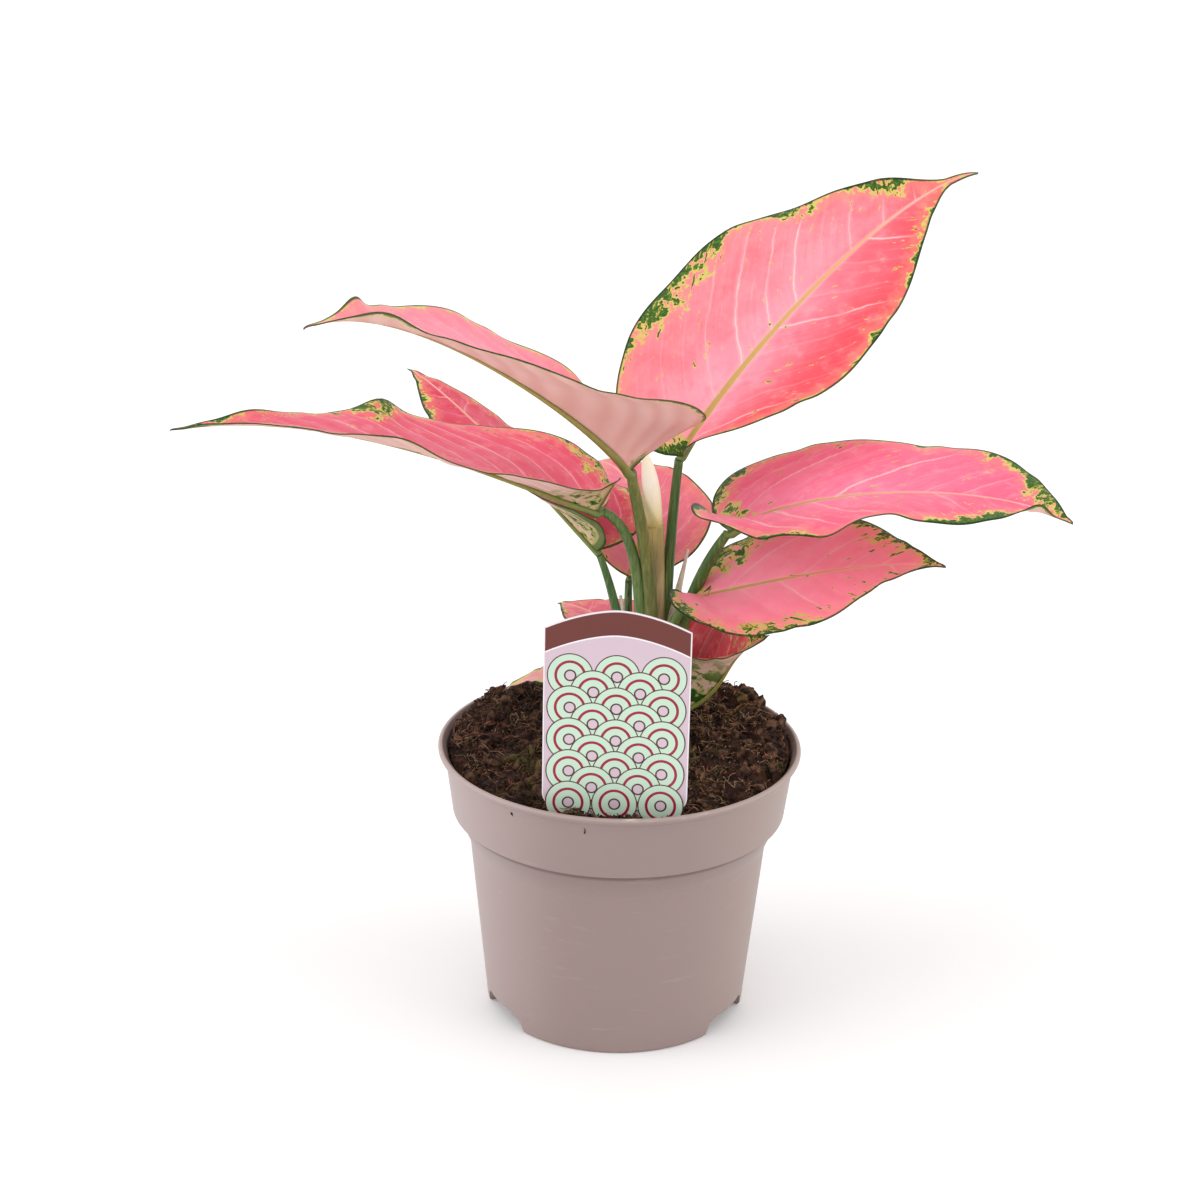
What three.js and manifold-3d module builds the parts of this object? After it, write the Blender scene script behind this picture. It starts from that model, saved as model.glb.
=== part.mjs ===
// A pink Chinese evergreen growing in a taupe nursery pot, with a plant tag pushed in behind the rim.
// Millimetres, +Z up. The origin is the centre of the flat underside of the pot, and the front faces -Y.
import * as THREE from 'three';
import { mergeVertices } from 'three/addons/utils/BufferGeometryUtils.js';
import Module from 'manifold-3d';

const wasm = await Module();
wasm.setup();

const gap = 0.3;

// Faceted bodies come nearer to each other than their curves do, so what is cut away is wider than the gap.
const soilFromPot = 0.5;
const soilEdgeFromPot = 0.75;
const soilFromStems = 0.75;
const soilFromTag = 0.45;
const stemsFromBlades = 0.6;

// Pot
const potHeight = 93;
const lipRadius = 60;
const footRadius = 43.4;
const wall = 1.6;
const notchHeight = 6;
const notchWidth = 25;
const notchInnerReach = 33;
const notchAngles = [-151, -29, 90];
const drainRadius = 3.5;
const drainReach = 39.5;
const potSegments = 52;

// Soil
const soilSegments = 44;
const soilBottom = 1.9;
const soilReach = 56;
const widestInside = 57.2;

// Tag
const tagThickness = 0.8;
const tagYaw = -3.5;
const tagLean = 3;
const tagFoot = [-1.7, -47.8, 92];
const tagHalfTop = 23;
const tagHalfLow = 22.9;
const tagSide = 58.8;
const tagShoulder = 62.7;
const tagPeak = 65.1;

// Leaves
const bladeThickness = 0.7;
const tailWidth = 0.045;

// Each blade: the four points that steer its midrib, the half widths, and angles in degrees given at its
// base, middle and tip. A lift raises a half from the midrib, a cup folds it up at the base only, a lobe
// sweeps it back past the stalk, and a wave is height, count and phase along the margin. A crest is one bump
// in the margin: its height, place and spread. The tail is the share of the length drawn out to a fine tip.
const blades = {
  blade_upper_right: {
    base: [18, 8, 190], out: [35, 26, 217], over: [86, 62, 266], tip: [117, 80, 268],
    left: 40, right: 34, widest: 0.38, tipPower: 2, tipFall: 1.5, tail: 0.1, roll: [24, 24, 24],
    liftLeft: [12, 2, 2], liftRight: [43, 7, 14], cupRight: 38, lobeLeft: 17,
    crestLeft: [[-2, 0.62, 0.05], [5, 0.8, 0.08]],
    waveLeft: [1.6, 4.5, 0.1], waveRight: [1.8, 3.6, 0.55], rows: 18, half: 5, colour: '#ec8098',
  },
  blade_upper_left: {
    base: [1.5, -12, 191.5], out: [-6, -35, 212], over: [-66, -75, 269], tip: [-91, -96, 259.5],
    left: 38, right: 30, widest: 0.44, tail: 0.06, liftLeft: [78, 9, 26], liftRight: [57, 22, 8],
    lobeLeft: 28, lobeRight: 19, crestLeft: [[3.4, 0.84, 0.05]], crestRight: [[4, 0.83, 0.04]],
    waveLeft: [0.8, 3.5, 0.1], waveRight: [1, 3.5, 0.3], rows: 18, half: 5, colour: '#e08a98',
  },
  blade_left: {
    base: [-8, -6, 176], out: [-27, -14, 185], over: [-90, -28, 218.5], tip: [-139, -36, 210],
    left: 37, right: 37, tail: 0.05, roll: [0, 0, -8], liftLeft: [26, 14, 34], cupLeft: 50,
    liftRight: [48, 2, 0], cupRight: -40, lobeLeft: 0, lobeRight: 28,
    crestLeft: [[2.4, 0.59, 0.06]], crestRight: [[4.8, 0.585, 0.045], [3, 0.86, 0.06]],
    waveLeft: [1, 3.5, 0.1], waveRight: [1, 3.2, 0.4], rows: 20, half: 5, colour: '#e27088',
  },
  blade_back_left: {
    base: [-8, 1, 160], out: [-27, 18, 174], over: [-57, 46, 198], tip: [-74, 66, 200.5],
    left: 27, right: 34, widest: 0.38, tipPower: 1.6, liftLeft: [73, 13, 12], liftRight: [32, -18, -2],
    lobeLeft: 12, lobeRight: 14,
    waveLeft: [1.2, 3.5, 0.1], waveRight: [1.2, 3.5, 0.5], rows: 14, half: 4, colour: '#dd6680',
  },
  blade_back: {
    base: [2, 14, 146], out: [11, 34, 159], over: [2, 60, 173], tip: [-12, 85, 162],
    left: 19, right: 25, widest: 0.38, liftLeft: [25, 10, 5], liftRight: [20, 10, 5],
    lobeLeft: 2, lobeRight: 6,
    waveLeft: [0.8, 3, 0.1], waveRight: [0.8, 3, 0.4], rows: 14, half: 4, colour: '#d9627c',
  },
  blade_right: {
    base: [33.5, -8, 170.6], out: [54, -18, 189.5], over: [111, -35, 199.5], tip: [136, -45, 188],
    left: 36, right: 33, widest: 0.34, tipPower: 2.8, tipFall: 1.2, tail: 0.03, roll: [5, 5, 5],
    liftLeft: [30, 5, 18], liftRight: [-7, 8, 12], cupRight: 110, lobeLeft: 27, lobeRight: 12,
    crestRight: [[6, 0.17, 0.07], [-4.8, 0.415, 0.06], [1.5, 0.55, 0.04], [-3.2, 0.73, 0.09], [5, 0.9, 0.04]],
    waveLeft: [1, 3, 0.1], waveRight: [1.5, 2.2, 0.31], rows: 18, half: 5, colour: '#ee7f9c',
  },
  blade_lower_right: {
    base: [23, -5, 146], out: [41, -15, 155], over: [78, -28, 170.5], tip: [99, -40, 171.5],
    left: 28, right: 27, widest: 0.46, tail: 0.03, roll: [20, 20, 10],
    liftLeft: [19, 2, 9], liftRight: [36, -3, 20], cupRight: 45, lobeLeft: 5, lobeRight: 14,
    waveLeft: [1, 3.5, 0.1], waveRight: [1, 3.5, 0.5], rows: 16, half: 4, colour: '#e8768f',
  },
  blade_low_right: {
    base: [18, 6, 101.5], out: [38, 1, 112], over: [30, -16, 131], tip: [47, -18, 139],
    left: 32, right: 19, widest: 0.4, roll: [20, 15, 5],
    liftLeft: [60, 55, 20], liftRight: [74, 44, -20], lobeLeft: 11,
    waveLeft: [0.8, 3, 0.1], waveRight: [0.6, 3, 0.5], rows: 12, half: 4, colour: '#cf5a70',
  },
  blade_low_left: {
    base: [6, 16, 117], out: [0, 28, 123], over: [-12, 44, 124], tip: [-22, 56, 120],
    left: 15, right: 16, widest: 0.42, liftLeft: [20, 10, 10], liftRight: [20, 10, 10],
    lobeLeft: 5, lobeRight: 5,
    waveLeft: [0.5, 3, 0.1], waveRight: [0.5, 3, 0.5], rows: 10, half: 3, colour: '#d9627c',
  },
  blade_low_back: {
    base: [-6, 18, 100.5], out: [-14, 24, 107], over: [-30, 28, 107], tip: [-40, 29, 97.5],
    left: 9, right: 9, widest: 0.42, liftLeft: [20, 10, 10], liftRight: [20, 10, 10],
    lobeLeft: 3, lobeRight: 3,
    waveLeft: [0.4, 3, 0.1], waveRight: [0.4, 3, 0.5], rows: 10, half: 3, colour: '#e0a094',
  },
};

// Each stalk: the four points that steer its centre line, and its radius at the crown and at the blade.
const stalks = {
  petiole_upper_right: {
    path: [[13, 6, 98], [14, 6, 140], [15, 7, 165], [17.2, 7.8, 188.7]],
    radii: [2.4, 1.5],
  },
  petiole_upper_left: {
    path: [[8, 3, 96], [13, 1, 150], [4, -5, 174], [1.9, -10.9, 190.5]],
    radii: [2.6, 1.7],
  },
  petiole_left: {
    path: [[6, 3, 96], [7, 2, 135], [7, -3, 169], [-6.9, -5.6, 175.6]],
    radii: [2.4, 1.5],
  },
  petiole_back_left: {
    path: [[4, 6, 96], [1, 4, 130], [-3, 2, 146], [-7.6, 0.2, 158.6]],
    radii: [2.2, 1.2],
  },
  petiole_back: {
    path: [[5, 9, 96], [2, 9, 118], [2, 11, 132], [2, 13.4, 144.7]],
    radii: [2, 1.2],
  },
  petiole_right: {
    path: [[14, 3, 96], [17, 2, 136], [26, -3, 158], [32.6, -7.7, 169.3]],
    radii: [2.8, 1.6],
  },
  petiole_lower_right: {
    path: [[13, 1, 95], [12, 0, 128], [16, -3, 138], [21.3, -4.5, 144.8]],
    radii: [2.2, 1.4],
  },
  petiole_low_right: {
    path: [[12, 5, 88], [13, 6, 95], [14.2, 6.4, 97.5], [15.8, 6.4, 99.6]],
    radii: [1.8, 1.2],
  },
  petiole_low_left: {
    path: [[7, 9, 94], [7, 11, 104], [6.5, 13, 111], [6.2, 15.4, 115.8]],
    radii: [1.6, 1.1],
  },
  petiole_low_back: {
    path: [[4, 9, 88], [0, 12, 94], [-3, 15, 97], [-5.4, 17.6, 99.4]],
    radii: [1.4, 0.9],
  },
  sheath_of_new_leaf: {
    path: [[10, 5, 96], [11.5, 5, 125], [11, 5, 150], [10, 5, 167]],
    radii: [3, 2],
  },
  sheath_right: {
    path: [[14, 5, 100], [13.5, 4.5, 125], [17, 5, 140], [21, 6, 159]],
    radii: [2.4, 0.5],
  },
  sheath_left: {
    path: [[4, 2, 100], [3, 1.5, 118], [1.6, 1.6, 130], [-0.6, 2, 144]],
    radii: [1.8, 0.5],
  },
};

// The short stem that carries every stalk: its centre, and pairs of height and radius.
const crownCentre = [9.5, 5.5];
const crownProfile = [[58, 4.5], [66, 6.5], [80, 7.4], [92, 7.6], [102, 6.6], [110, 4.6]];

const rolledLeafPath = [[9.9, 5, 167.6], [9.3, 5, 174], [8, 5, 183], [6.3, 5, 191]];

// A closed mesh from points and triangles.
function meshOf(points, triangles) {
  const geometry = new THREE.BufferGeometry();
  geometry.setAttribute('position', new THREE.Float32BufferAttribute(points.flat(), 3));
  geometry.setIndex(triangles.flat());
  return geometry;
}

function toSolid(geometry) {
  const plain = geometry.clone();
  plain.deleteAttribute('uv');
  plain.deleteAttribute('normal');
  const merged = mergeVertices(plain, 1e-4);
  const mesh = new wasm.Mesh({
    numProp: 3,
    vertProperties: new Float32Array(merged.attributes.position.array),
    triVerts: new Uint32Array(merged.index.array),
  });
  return new wasm.Manifold(mesh);
}

function toGeometry(solid) {
  const mesh = solid.getMesh();
  const geometry = new THREE.BufferGeometry();
  geometry.setAttribute('position', new THREE.BufferAttribute(new Float32Array(mesh.vertProperties), 3));
  geometry.setIndex(new THREE.BufferAttribute(new Uint32Array(mesh.triVerts), 1));
  return geometry;
}

// Rings of points joined in order, closed at both ends by a centre point.
function loft(start, rings, end) {
  const points = [start];
  const triangles = [];
  const sides = rings[0].length;
  rings.forEach((ring) => points.push(...ring));
  points.push(end);
  const last = points.length - 1;
  for (let side = 0; side < sides; side += 1) {
    const next = (side + 1) % sides;
    triangles.push([0, 1 + next, 1 + side]);
    for (let ring = 0; ring < rings.length - 1; ring += 1) {
      const a = 1 + ring * sides;
      const b = a + sides;
      triangles.push([a + side, a + next, b + next]);
      triangles.push([a + side, b + next, b + side]);
    }
    const top = 1 + (rings.length - 1) * sides;
    triangles.push([top + side, top + next, last]);
  }
  return meshOf(points, triangles);
}

// A profile of radius and height, from the axis at its foot to the axis at its end, turned about Z.
function turnedSolid(profile, segments) {
  const outline = profile.map(([radius, height]) => new THREE.Vector2(radius, height));
  return toSolid(new THREE.LatheGeometry(outline, segments).rotateX(Math.PI / 2));
}

// A level ring of points.
function ringAt([centreX, centreY], radius, height, sides) {
  return Array.from({ length: sides }, (_, side) => {
    const angle = (side / sides) * 2 * Math.PI;
    return [centreX + radius * Math.cos(angle), centreY + radius * Math.sin(angle), height];
  });
}

function curveOf(path) {
  return new THREE.CubicBezierCurve3(...path.map((point) => new THREE.Vector3(...point)));
}

// A round stalk along a curve, its radius going evenly from one end to the other.
function stalkSolid(path, radii, extra) {
  const rings = 7;
  const sides = 8;
  const curve = curveOf(path);
  const loops = [];
  let across = new THREE.Vector3(0, 1, 0);
  for (let step = 0; step <= rings; step += 1) {
    const s = step / rings;
    const centre = curve.getPoint(s);
    const tangent = curve.getTangent(s);
    const beside = new THREE.Vector3().crossVectors(tangent, across).normalize();
    across = new THREE.Vector3().crossVectors(beside, tangent).normalize();
    const radius = radii[0] + (radii[1] - radii[0]) * s + extra;
    const loop = [];
    for (let side = 0; side < sides; side += 1) {
      const angle = (side / sides) * 2 * Math.PI;
      const point = centre.clone();
      point.addScaledVector(across, radius * Math.cos(angle));
      point.addScaledVector(beside, radius * Math.sin(angle));
      loop.push(point.toArray());
    }
    loops.push(loop);
  }
  const first = curve.getPoint(0).addScaledVector(curve.getTangent(0), -extra);
  const last = curve.getPoint(1).addScaledVector(curve.getTangent(1), extra);
  return toSolid(loft(first.toArray(), loops, last.toArray()));
}

// A value given at base, middle and tip, or one value for all three.
function along(values, s) {
  const [base, middle, tip] = values;
  return base * (1 - s) * (1 - 2 * s) + middle * 4 * s * (1 - s) + tip * s * (2 * s - 1);
}

function outlineAt(blade, s) {
  const widest = blade.widest ?? 0.4;
  if (s < widest) {
    return Math.sqrt(1 - ((widest - s) / widest) ** 2);
  }
  const tail = blade.tail ?? 0;
  const reach = Math.min((s - widest) / (1 - tail - widest), 1);
  const narrowing = (1 - reach ** (blade.tipPower ?? 1.9)) ** (blade.tipFall ?? 1.45);
  return tail ? narrowing + tailWidth * Math.sqrt((1 - s) / tail) * reach ** 6 : narrowing;
}

// The bumps of a margin at one place along it.
function crestAt(crests, s) {
  return (crests ?? []).reduce((sum, [height, place, spread]) => (
    sum + height * Math.exp(-(((s - place) / spread) ** 2))
  ), 0);
}

// One point of a blade's middle surface: s runs from base to tip and t from -1 at the left margin,
// over the midrib at 0, to 1 at the right margin.
function bladePoint(blade, curve, s, t) {
  const centre = curve.getPoint(s);
  const tangent = curve.getTangent(s);
  const level = new THREE.Vector3().crossVectors(tangent, new THREE.Vector3(0, 0, 1)).normalize();
  const upright = new THREE.Vector3().crossVectors(level, tangent);
  const roll = THREE.MathUtils.degToRad(along(blade.roll ?? [0, 0, 0], s));
  const side = level.clone().multiplyScalar(Math.cos(roll)).addScaledVector(upright, -Math.sin(roll));
  const normal = level.clone().multiplyScalar(Math.sin(roll)).addScaledVector(upright, Math.cos(roll));
  const isLeft = t < 0;
  const shape = outlineAt(blade, s);
  const cup = (isLeft ? blade.cupLeft : blade.cupRight) ?? 0;
  const lift = along(isLeft ? blade.liftLeft : blade.liftRight, s) + cup * (1 - s) ** 12;
  const angle = THREE.MathUtils.degToRad(lift);
  const reach = (isLeft ? blade.left : blade.right) * shape * Math.abs(t);
  const [height, count, phase] = isLeft ? blade.waveLeft : blade.waveRight;
  const crest = crestAt(isLeft ? blade.crestLeft : blade.crestRight, s) * Math.min(1, 3 * shape);
  const swing = height * Math.sin(2 * Math.PI * (count * s + phase)) * shape;
  const wave = (swing + crest) * Math.abs(t) ** 2.5;
  const lobe = ((isLeft ? blade.lobeLeft : blade.lobeRight) ?? 0) * shape * (1 - s) ** 3;
  const swept = (lobe * (1 - Math.cos(t * Math.PI))) / 2;
  centre.addScaledVector(side, (isLeft ? -1 : 1) * reach * Math.cos(angle));
  centre.addScaledVector(normal, reach * Math.sin(angle) + wave);
  centre.addScaledVector(tangent, -swept);
  return centre;
}

// The direction that a blade's upper face looks in.
function bladeNormal(blade, curve, s, t) {
  if (t === 0) {
    return bladeNormal(blade, curve, s, -0.01).add(bladeNormal(blade, curve, s, 0.01)).normalize();
  }
  const step = 0.004;
  const before = bladePoint(blade, curve, Math.max(s - step, 0.001), t);
  const after = bladePoint(blade, curve, Math.min(s + step, 0.999), t);
  const inner = bladePoint(blade, curve, s, t - 0.02 * Math.sign(t));
  const across = bladePoint(blade, curve, s, t).sub(inner).multiplyScalar(Math.sign(t));
  return across.cross(after.sub(before)).normalize();
}

// The blade as a thin closed solid, with the same triangles on its upper and lower face. The extra
// thickens it on every side.
function bladeSolid(blade, extra) {
  const curve = curveOf([blade.base, blade.out, blade.over, blade.tip]);
  const columns = blade.half * 2;
  const width = columns + 1;
  const middles = [];
  const normals = [];
  for (let row = 1; row < blade.rows; row += 1) {
    const even = row / blade.rows;
    const s = 0.55 * (0.5 - 0.5 * Math.cos(Math.PI * even)) + 0.45 * even;
    for (let column = 0; column <= columns; column += 1) {
      const t = (column - blade.half) / blade.half;
      const point = bladePoint(blade, curve, s, t);
      if (Math.abs(t) === 1) {
        const outward = point.clone().sub(bladePoint(blade, curve, s, t * 0.9)).normalize();
        point.addScaledVector(outward, extra);
        point.addScaledVector(curve.getTangent(0), row === 1 ? -extra : 0);
      }
      middles.push(point);
      normals.push(bladeNormal(blade, curve, s, t));
    }
  }
  const base = middles.length;
  const tip = base + 1;
  middles.push(curve.getPoint(0).addScaledVector(curve.getTangent(0), -extra));
  middles.push(curve.getPoint(1).addScaledVector(curve.getTangent(1), extra));
  normals.push(bladeNormal(blade, curve, 0.01, 0), bladeNormal(blade, curve, 0.985, 0));

  const lastRow = (blade.rows - 2) * width;
  const face = [];
  for (let column = 0; column < columns; column += 1) {
    face.push([base, column + 1, column]);
    face.push([tip, lastRow + column, lastRow + column + 1]);
    for (let a = column; a < lastRow; a += width) {
      const b = a + width;
      face.push(column < blade.half ? [a, a + 1, b] : [a, a + 1, b + 1]);
      face.push(column < blade.half ? [a + 1, b + 1, b] : [a, b + 1, b]);
    }
  }
  const starts = Array.from({ length: blade.rows - 1 }, (_, row) => row * width);
  const rim = [base, ...starts, tip, ...starts.map((start) => start + columns).reverse()];

  const depth = bladeThickness / 2 + extra;
  const layer = (away) => middles.map((middle, k) => (
    middle.clone().addScaledVector(normals[k], away).toArray()
  ));
  const lower = middles.length;
  const underside = face.map(([a, b, c]) => [lower + c, lower + b, lower + a]);
  const edge = rim.flatMap((a, k) => {
    const b = rim[(k + 1) % rim.length];
    return [[a, b, lower + b], [a, lower + b, lower + a]];
  });
  return toSolid(meshOf([...layer(depth), ...layer(-depth)], [...face, ...underside, ...edge]));
}

// The pot outside and inside, as radius and height.
const potOutside = [
  [0, 0], [footRadius - 0.8, 0], [footRadius, 0.8], [49.3, 58.5], [49.8, 61], [53.8, 70.2],
  [54.9, 70.4], [56.4, 89.8], [57, 90.6], [59.4, 90.8], [lipRadius, 91.5],
  [lipRadius, 92.4], [59.3, potHeight], [57.4, potHeight], [0, potHeight],
];
const potInside = [
  [0, wall], [41.2, wall], [42, 2.4], [47.7, 59.2], [48.2, 61.4], [52.3, 71],
  [53.3, 72], [54.8, 90.2], [57.4, potHeight + 0.02], [57.4, 99], [0, 99],
];

function insideRadius(height) {
  for (let step = 1; step < potInside.length - 1; step += 1) {
    const [lowRadius, low] = potInside[step];
    const [highRadius, high] = potInside[step + 1];
    if (height >= low && height <= high) {
      return lowRadius + ((highRadius - lowRadius) * (height - low)) / (high - low);
    }
  }
  return potInside[potInside.length - 2][0];
}

// One drainage arch under the pot, widened by the given margin.
function archSolid(angle, margin) {
  const half = notchWidth / 2 + margin;
  const top = notchHeight + margin;
  const shape = new THREE.Shape();
  shape.moveTo(-half, -2);
  shape.lineTo(half, -2);
  shape.lineTo(half, 0.5);
  shape.bezierCurveTo(half - 0.6, top * 0.7, half - 2.6, top, half - 5, top);
  shape.lineTo(-half + 5, top);
  shape.bezierCurveTo(-half + 2.6, top, -half + 0.6, top * 0.7, -half, 0.5);
  shape.closePath();
  const depth = 62 - notchInnerReach + margin;
  const geometry = new THREE.ExtrudeGeometry(shape, { depth, bevelEnabled: false, curveSegments: 4 });
  geometry.rotateX(Math.PI / 2);
  geometry.rotateZ(Math.PI / 2);
  geometry.translate(notchInnerReach - margin, 0, 0);
  geometry.rotateZ(THREE.MathUtils.degToRad(angle));
  return toSolid(geometry);
}

function arches(margin) {
  return notchAngles
    .map((angle) => archSolid(angle, margin))
    .reduce((joined, next) => joined.add(next));
}

function drains() {
  return notchAngles
    .map((angle) => {
      const hole = new THREE.CylinderGeometry(drainRadius, drainRadius, 5, 16).rotateX(Math.PI / 2);
      hole.translate(drainReach, 0, 6.5).rotateZ(THREE.MathUtils.degToRad(angle));
      return toSolid(hole);
    })
    .reduce((joined, next) => joined.add(next));
}

function potSolid() {
  const outside = turnedSolid(potOutside, potSegments);
  const inside = turnedSolid(potInside, potSegments).subtract(arches(wall));
  return outside.subtract(inside).subtract(arches(0)).subtract(drains());
}

// Soil height, heaped over the rim at the back and the sides, with clods.
function hill(x, y, [centreX, centreY, height, spread]) {
  return height * Math.exp(-((x - centreX) ** 2 + (y - centreY) ** 2) / (2 * spread ** 2));
}
const soilHills = [
  [9, 6, 1, 15], [-42, 30, 1.5, 10], [42, 30, 2, 10], [50, 9, 3, 9], [-50, 8, 2, 9],
  [-30, -32, 1, 8], [34, -34, 1, 8],
];
function soilHeight(x, y) {
  const slope = 91.8 + 0.065 * y;
  const heaps = soilHills.reduce((sum, each) => sum + hill(x, y, each), 0);
  const clods = 0.8 * Math.sin(x * 0.41 + 1.3 * Math.sin(y * 0.23)) * Math.sin(y * 0.37 + 0.6)
    + 0.5 * Math.sin(x * 0.83 + y * 0.47) * Math.sin(y * 0.91 - x * 0.29 + 2);
  const edge = THREE.MathUtils.smoothstep(Math.hypot(x, y), 46, 56);
  return slope + heaps + clods - 0.6 * edge;
}

function soilSolid() {
  const walls = [soilBottom, 59.2, 61.4, 71, 72].map(
    (height) => ringAt([0, 0], insideRadius(height) - soilFromPot, height, soilSegments),
  );
  const edgeRing = (top, drop) => ringAt([0, 0], soilReach, 0, soilSegments).map(([x, y]) => {
    const height = Math.min(soilHeight(x, y) - drop, top);
    const inward = (Math.min(insideRadius(height), widestInside) - soilEdgeFromPot) / soilReach;
    return [x * inward, y * inward, height];
  });
  const surface = [0.92, 0.84, 0.75, 0.66, 0.56, 0.46, 0.36, 0.26, 0.17, 0.08].map(
    (share) => ringAt([0, 0], soilReach * share, 0, soilSegments).map(([x, y]) => [x, y, soilHeight(x, y)]),
  );
  const rings = [...walls, edgeRing(90.2, 0.6), edgeRing(99, 0), ...surface];
  return toSolid(loft([0, 0, soilBottom], rings, [0, 0, soilHeight(0, 0)]))
    .subtract(arches(wall + gap))
    .subtract(stemsSolid(soilFromStems))
    .subtract(tagSolid(soilFromTag));
}

// The crown and every stalk as one body. The extra thickens it on every side.
function stemsSolid(extra) {
  const rings = crownProfile.map(([height, radius]) => ringAt(crownCentre, radius + extra, height, 12));
  const [foot, ...others] = crownProfile.map(([height]) => height);
  const low = [...crownCentre, foot - 2 - extra];
  const high = [...crownCentre, others.pop() + 2 + extra];
  const crown = toSolid(loft(low, rings, high));
  return Object.values(stalks)
    .map((stalk) => stalkSolid(stalk.path, stalk.radii, extra))
    .reduce((joined, next) => joined.add(next), crown);
}

// The tag: an arched card that narrows below to a point, leaning a little back.
function tagSolid(extra) {
  const halfTop = tagHalfTop + extra;
  const halfLow = tagHalfLow + extra;
  const shoulder = tagShoulder + extra;
  const peak = tagPeak + extra;
  const shape = new THREE.Shape();
  shape.moveTo(0, -26 - extra);
  shape.lineTo(2 + extra, -24);
  shape.lineTo(5.5 + extra, -11);
  shape.bezierCurveTo(7 + extra, -6, 14 + extra, -4 - extra, 19 + extra, -1.5 - extra);
  shape.quadraticCurveTo(halfLow, 0.5, halfLow, 4);
  shape.lineTo(halfTop, tagSide);
  shape.bezierCurveTo(halfTop - 8, shoulder, 6, peak, 0, peak);
  shape.bezierCurveTo(-6, peak, -halfTop + 8, shoulder, -halfTop, tagSide);
  shape.lineTo(-halfLow, 4);
  shape.quadraticCurveTo(-halfLow, 0.5, -19 - extra, -1.5 - extra);
  shape.bezierCurveTo(-14 - extra, -4 - extra, -7 - extra, -6, -5.5 - extra, -11);
  shape.lineTo(-2 - extra, -24);
  shape.closePath();
  const depth = tagThickness + 2 * extra;
  const geometry = new THREE.ExtrudeGeometry(shape, { depth, bevelEnabled: false, curveSegments: 6 });
  geometry.translate(0, 0, -depth / 2);
  geometry.rotateX(Math.PI / 2);
  geometry.rotateX(THREE.MathUtils.degToRad(-tagLean));
  geometry.rotateZ(THREE.MathUtils.degToRad(tagYaw));
  geometry.translate(...tagFoot);
  return toSolid(geometry);
}

// The new leaf, still rolled up: a slim spindle that comes to a point.
function rolledLeafSolid() {
  const curve = curveOf(rolledLeafPath);
  const steps = 7;
  const rings = Array.from({ length: steps + 1 }, (_, step) => {
    const s = step / steps;
    const { x, y, z } = curve.getPoint(s);
    const radius = 0.3 + 2.1 * (1 - s ** 2.4) * (0.86 + 0.14 * Math.sin(Math.PI * s));
    return ringAt([x, y], radius, z, 8);
  });
  const first = curve.getPoint(0);
  const last = curve.getPoint(1);
  return toSolid(loft([first.x, first.y, first.z - 0.01], rings, [last.x, last.y, last.z + 0.5]));
}

const bladeSolids = Object.entries(blades).map(([name, blade]) => [name, bladeSolid(blade, 0), blade.colour]);
const stems = Object.values(blades).reduce(
  (cut, blade) => cut.subtract(bladeSolid(blade, stemsFromBlades)),
  stemsSolid(0),
);

const pieces = [
  ['pot', potSolid(), '#a8958f', 0.55],
  ['soil', soilSolid(), '#3a241b', 0.95],
  ['plant_tag', tagSolid(0), '#dcc8d8', 0.4],
  ['stems', stems, '#5a8040', 0.45],
  ['rolled_leaf', rolledLeafSolid(), '#ece2a8', 0.45],
  ...bladeSolids.map(([name, solid, colour]) => [name, solid, colour, 0.4]),
];

const group = new THREE.Group();
group.name = 'potted_pink_chinese_evergreen';
pieces.forEach(([name, solid, colour, roughness]) => {
  const material = new THREE.MeshStandardMaterial({ color: colour, roughness, metalness: 0 });
  const mesh = new THREE.Mesh(toGeometry(solid), material);
  mesh.name = name;
  group.add(mesh);
});

export default group;
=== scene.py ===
# A pink Chinese evergreen in a taupe nursery pot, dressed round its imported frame.
import math

import bmesh
import bpy
import numpy as np
from mathutils import Matrix, Vector, noise


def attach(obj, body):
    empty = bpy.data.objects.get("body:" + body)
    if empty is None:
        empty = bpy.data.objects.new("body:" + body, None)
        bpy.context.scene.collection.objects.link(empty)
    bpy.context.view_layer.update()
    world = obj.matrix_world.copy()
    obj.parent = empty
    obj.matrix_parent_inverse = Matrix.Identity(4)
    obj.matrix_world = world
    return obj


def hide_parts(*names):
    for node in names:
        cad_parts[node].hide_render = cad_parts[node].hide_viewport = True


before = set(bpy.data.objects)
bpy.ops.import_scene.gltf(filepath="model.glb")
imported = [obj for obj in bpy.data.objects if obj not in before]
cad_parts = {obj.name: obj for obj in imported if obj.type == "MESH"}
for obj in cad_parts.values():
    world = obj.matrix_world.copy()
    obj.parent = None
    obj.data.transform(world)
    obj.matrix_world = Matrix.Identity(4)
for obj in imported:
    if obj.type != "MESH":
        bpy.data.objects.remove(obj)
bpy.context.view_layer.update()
mm = 0.001


# Small helpers

def srgb(text):
    parts = [int(text[k:k + 2], 16) / 255 for k in (1, 3, 5)]
    linear = [v / 12.92 if v <= 0.04045 else ((v + 0.055) / 1.055) ** 2.4 for v in parts]
    return (*linear, 1.0)


def unit(vectors):
    return vectors / np.maximum(np.linalg.norm(vectors, axis=-1, keepdims=True), 1e-9)


def smooth(low, high, value):
    share = np.clip((value - low) / (high - low), 0, 1)
    return share * share * (3 - 2 * share)


def bezier(path, s):
    p = np.array(path, float)
    s = np.asarray(s, float)[..., None]
    return (1 - s) ** 3 * p[0] + 3 * (1 - s) ** 2 * s * p[1] + 3 * (1 - s) * s ** 2 * p[2] + s ** 3 * p[3]


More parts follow.
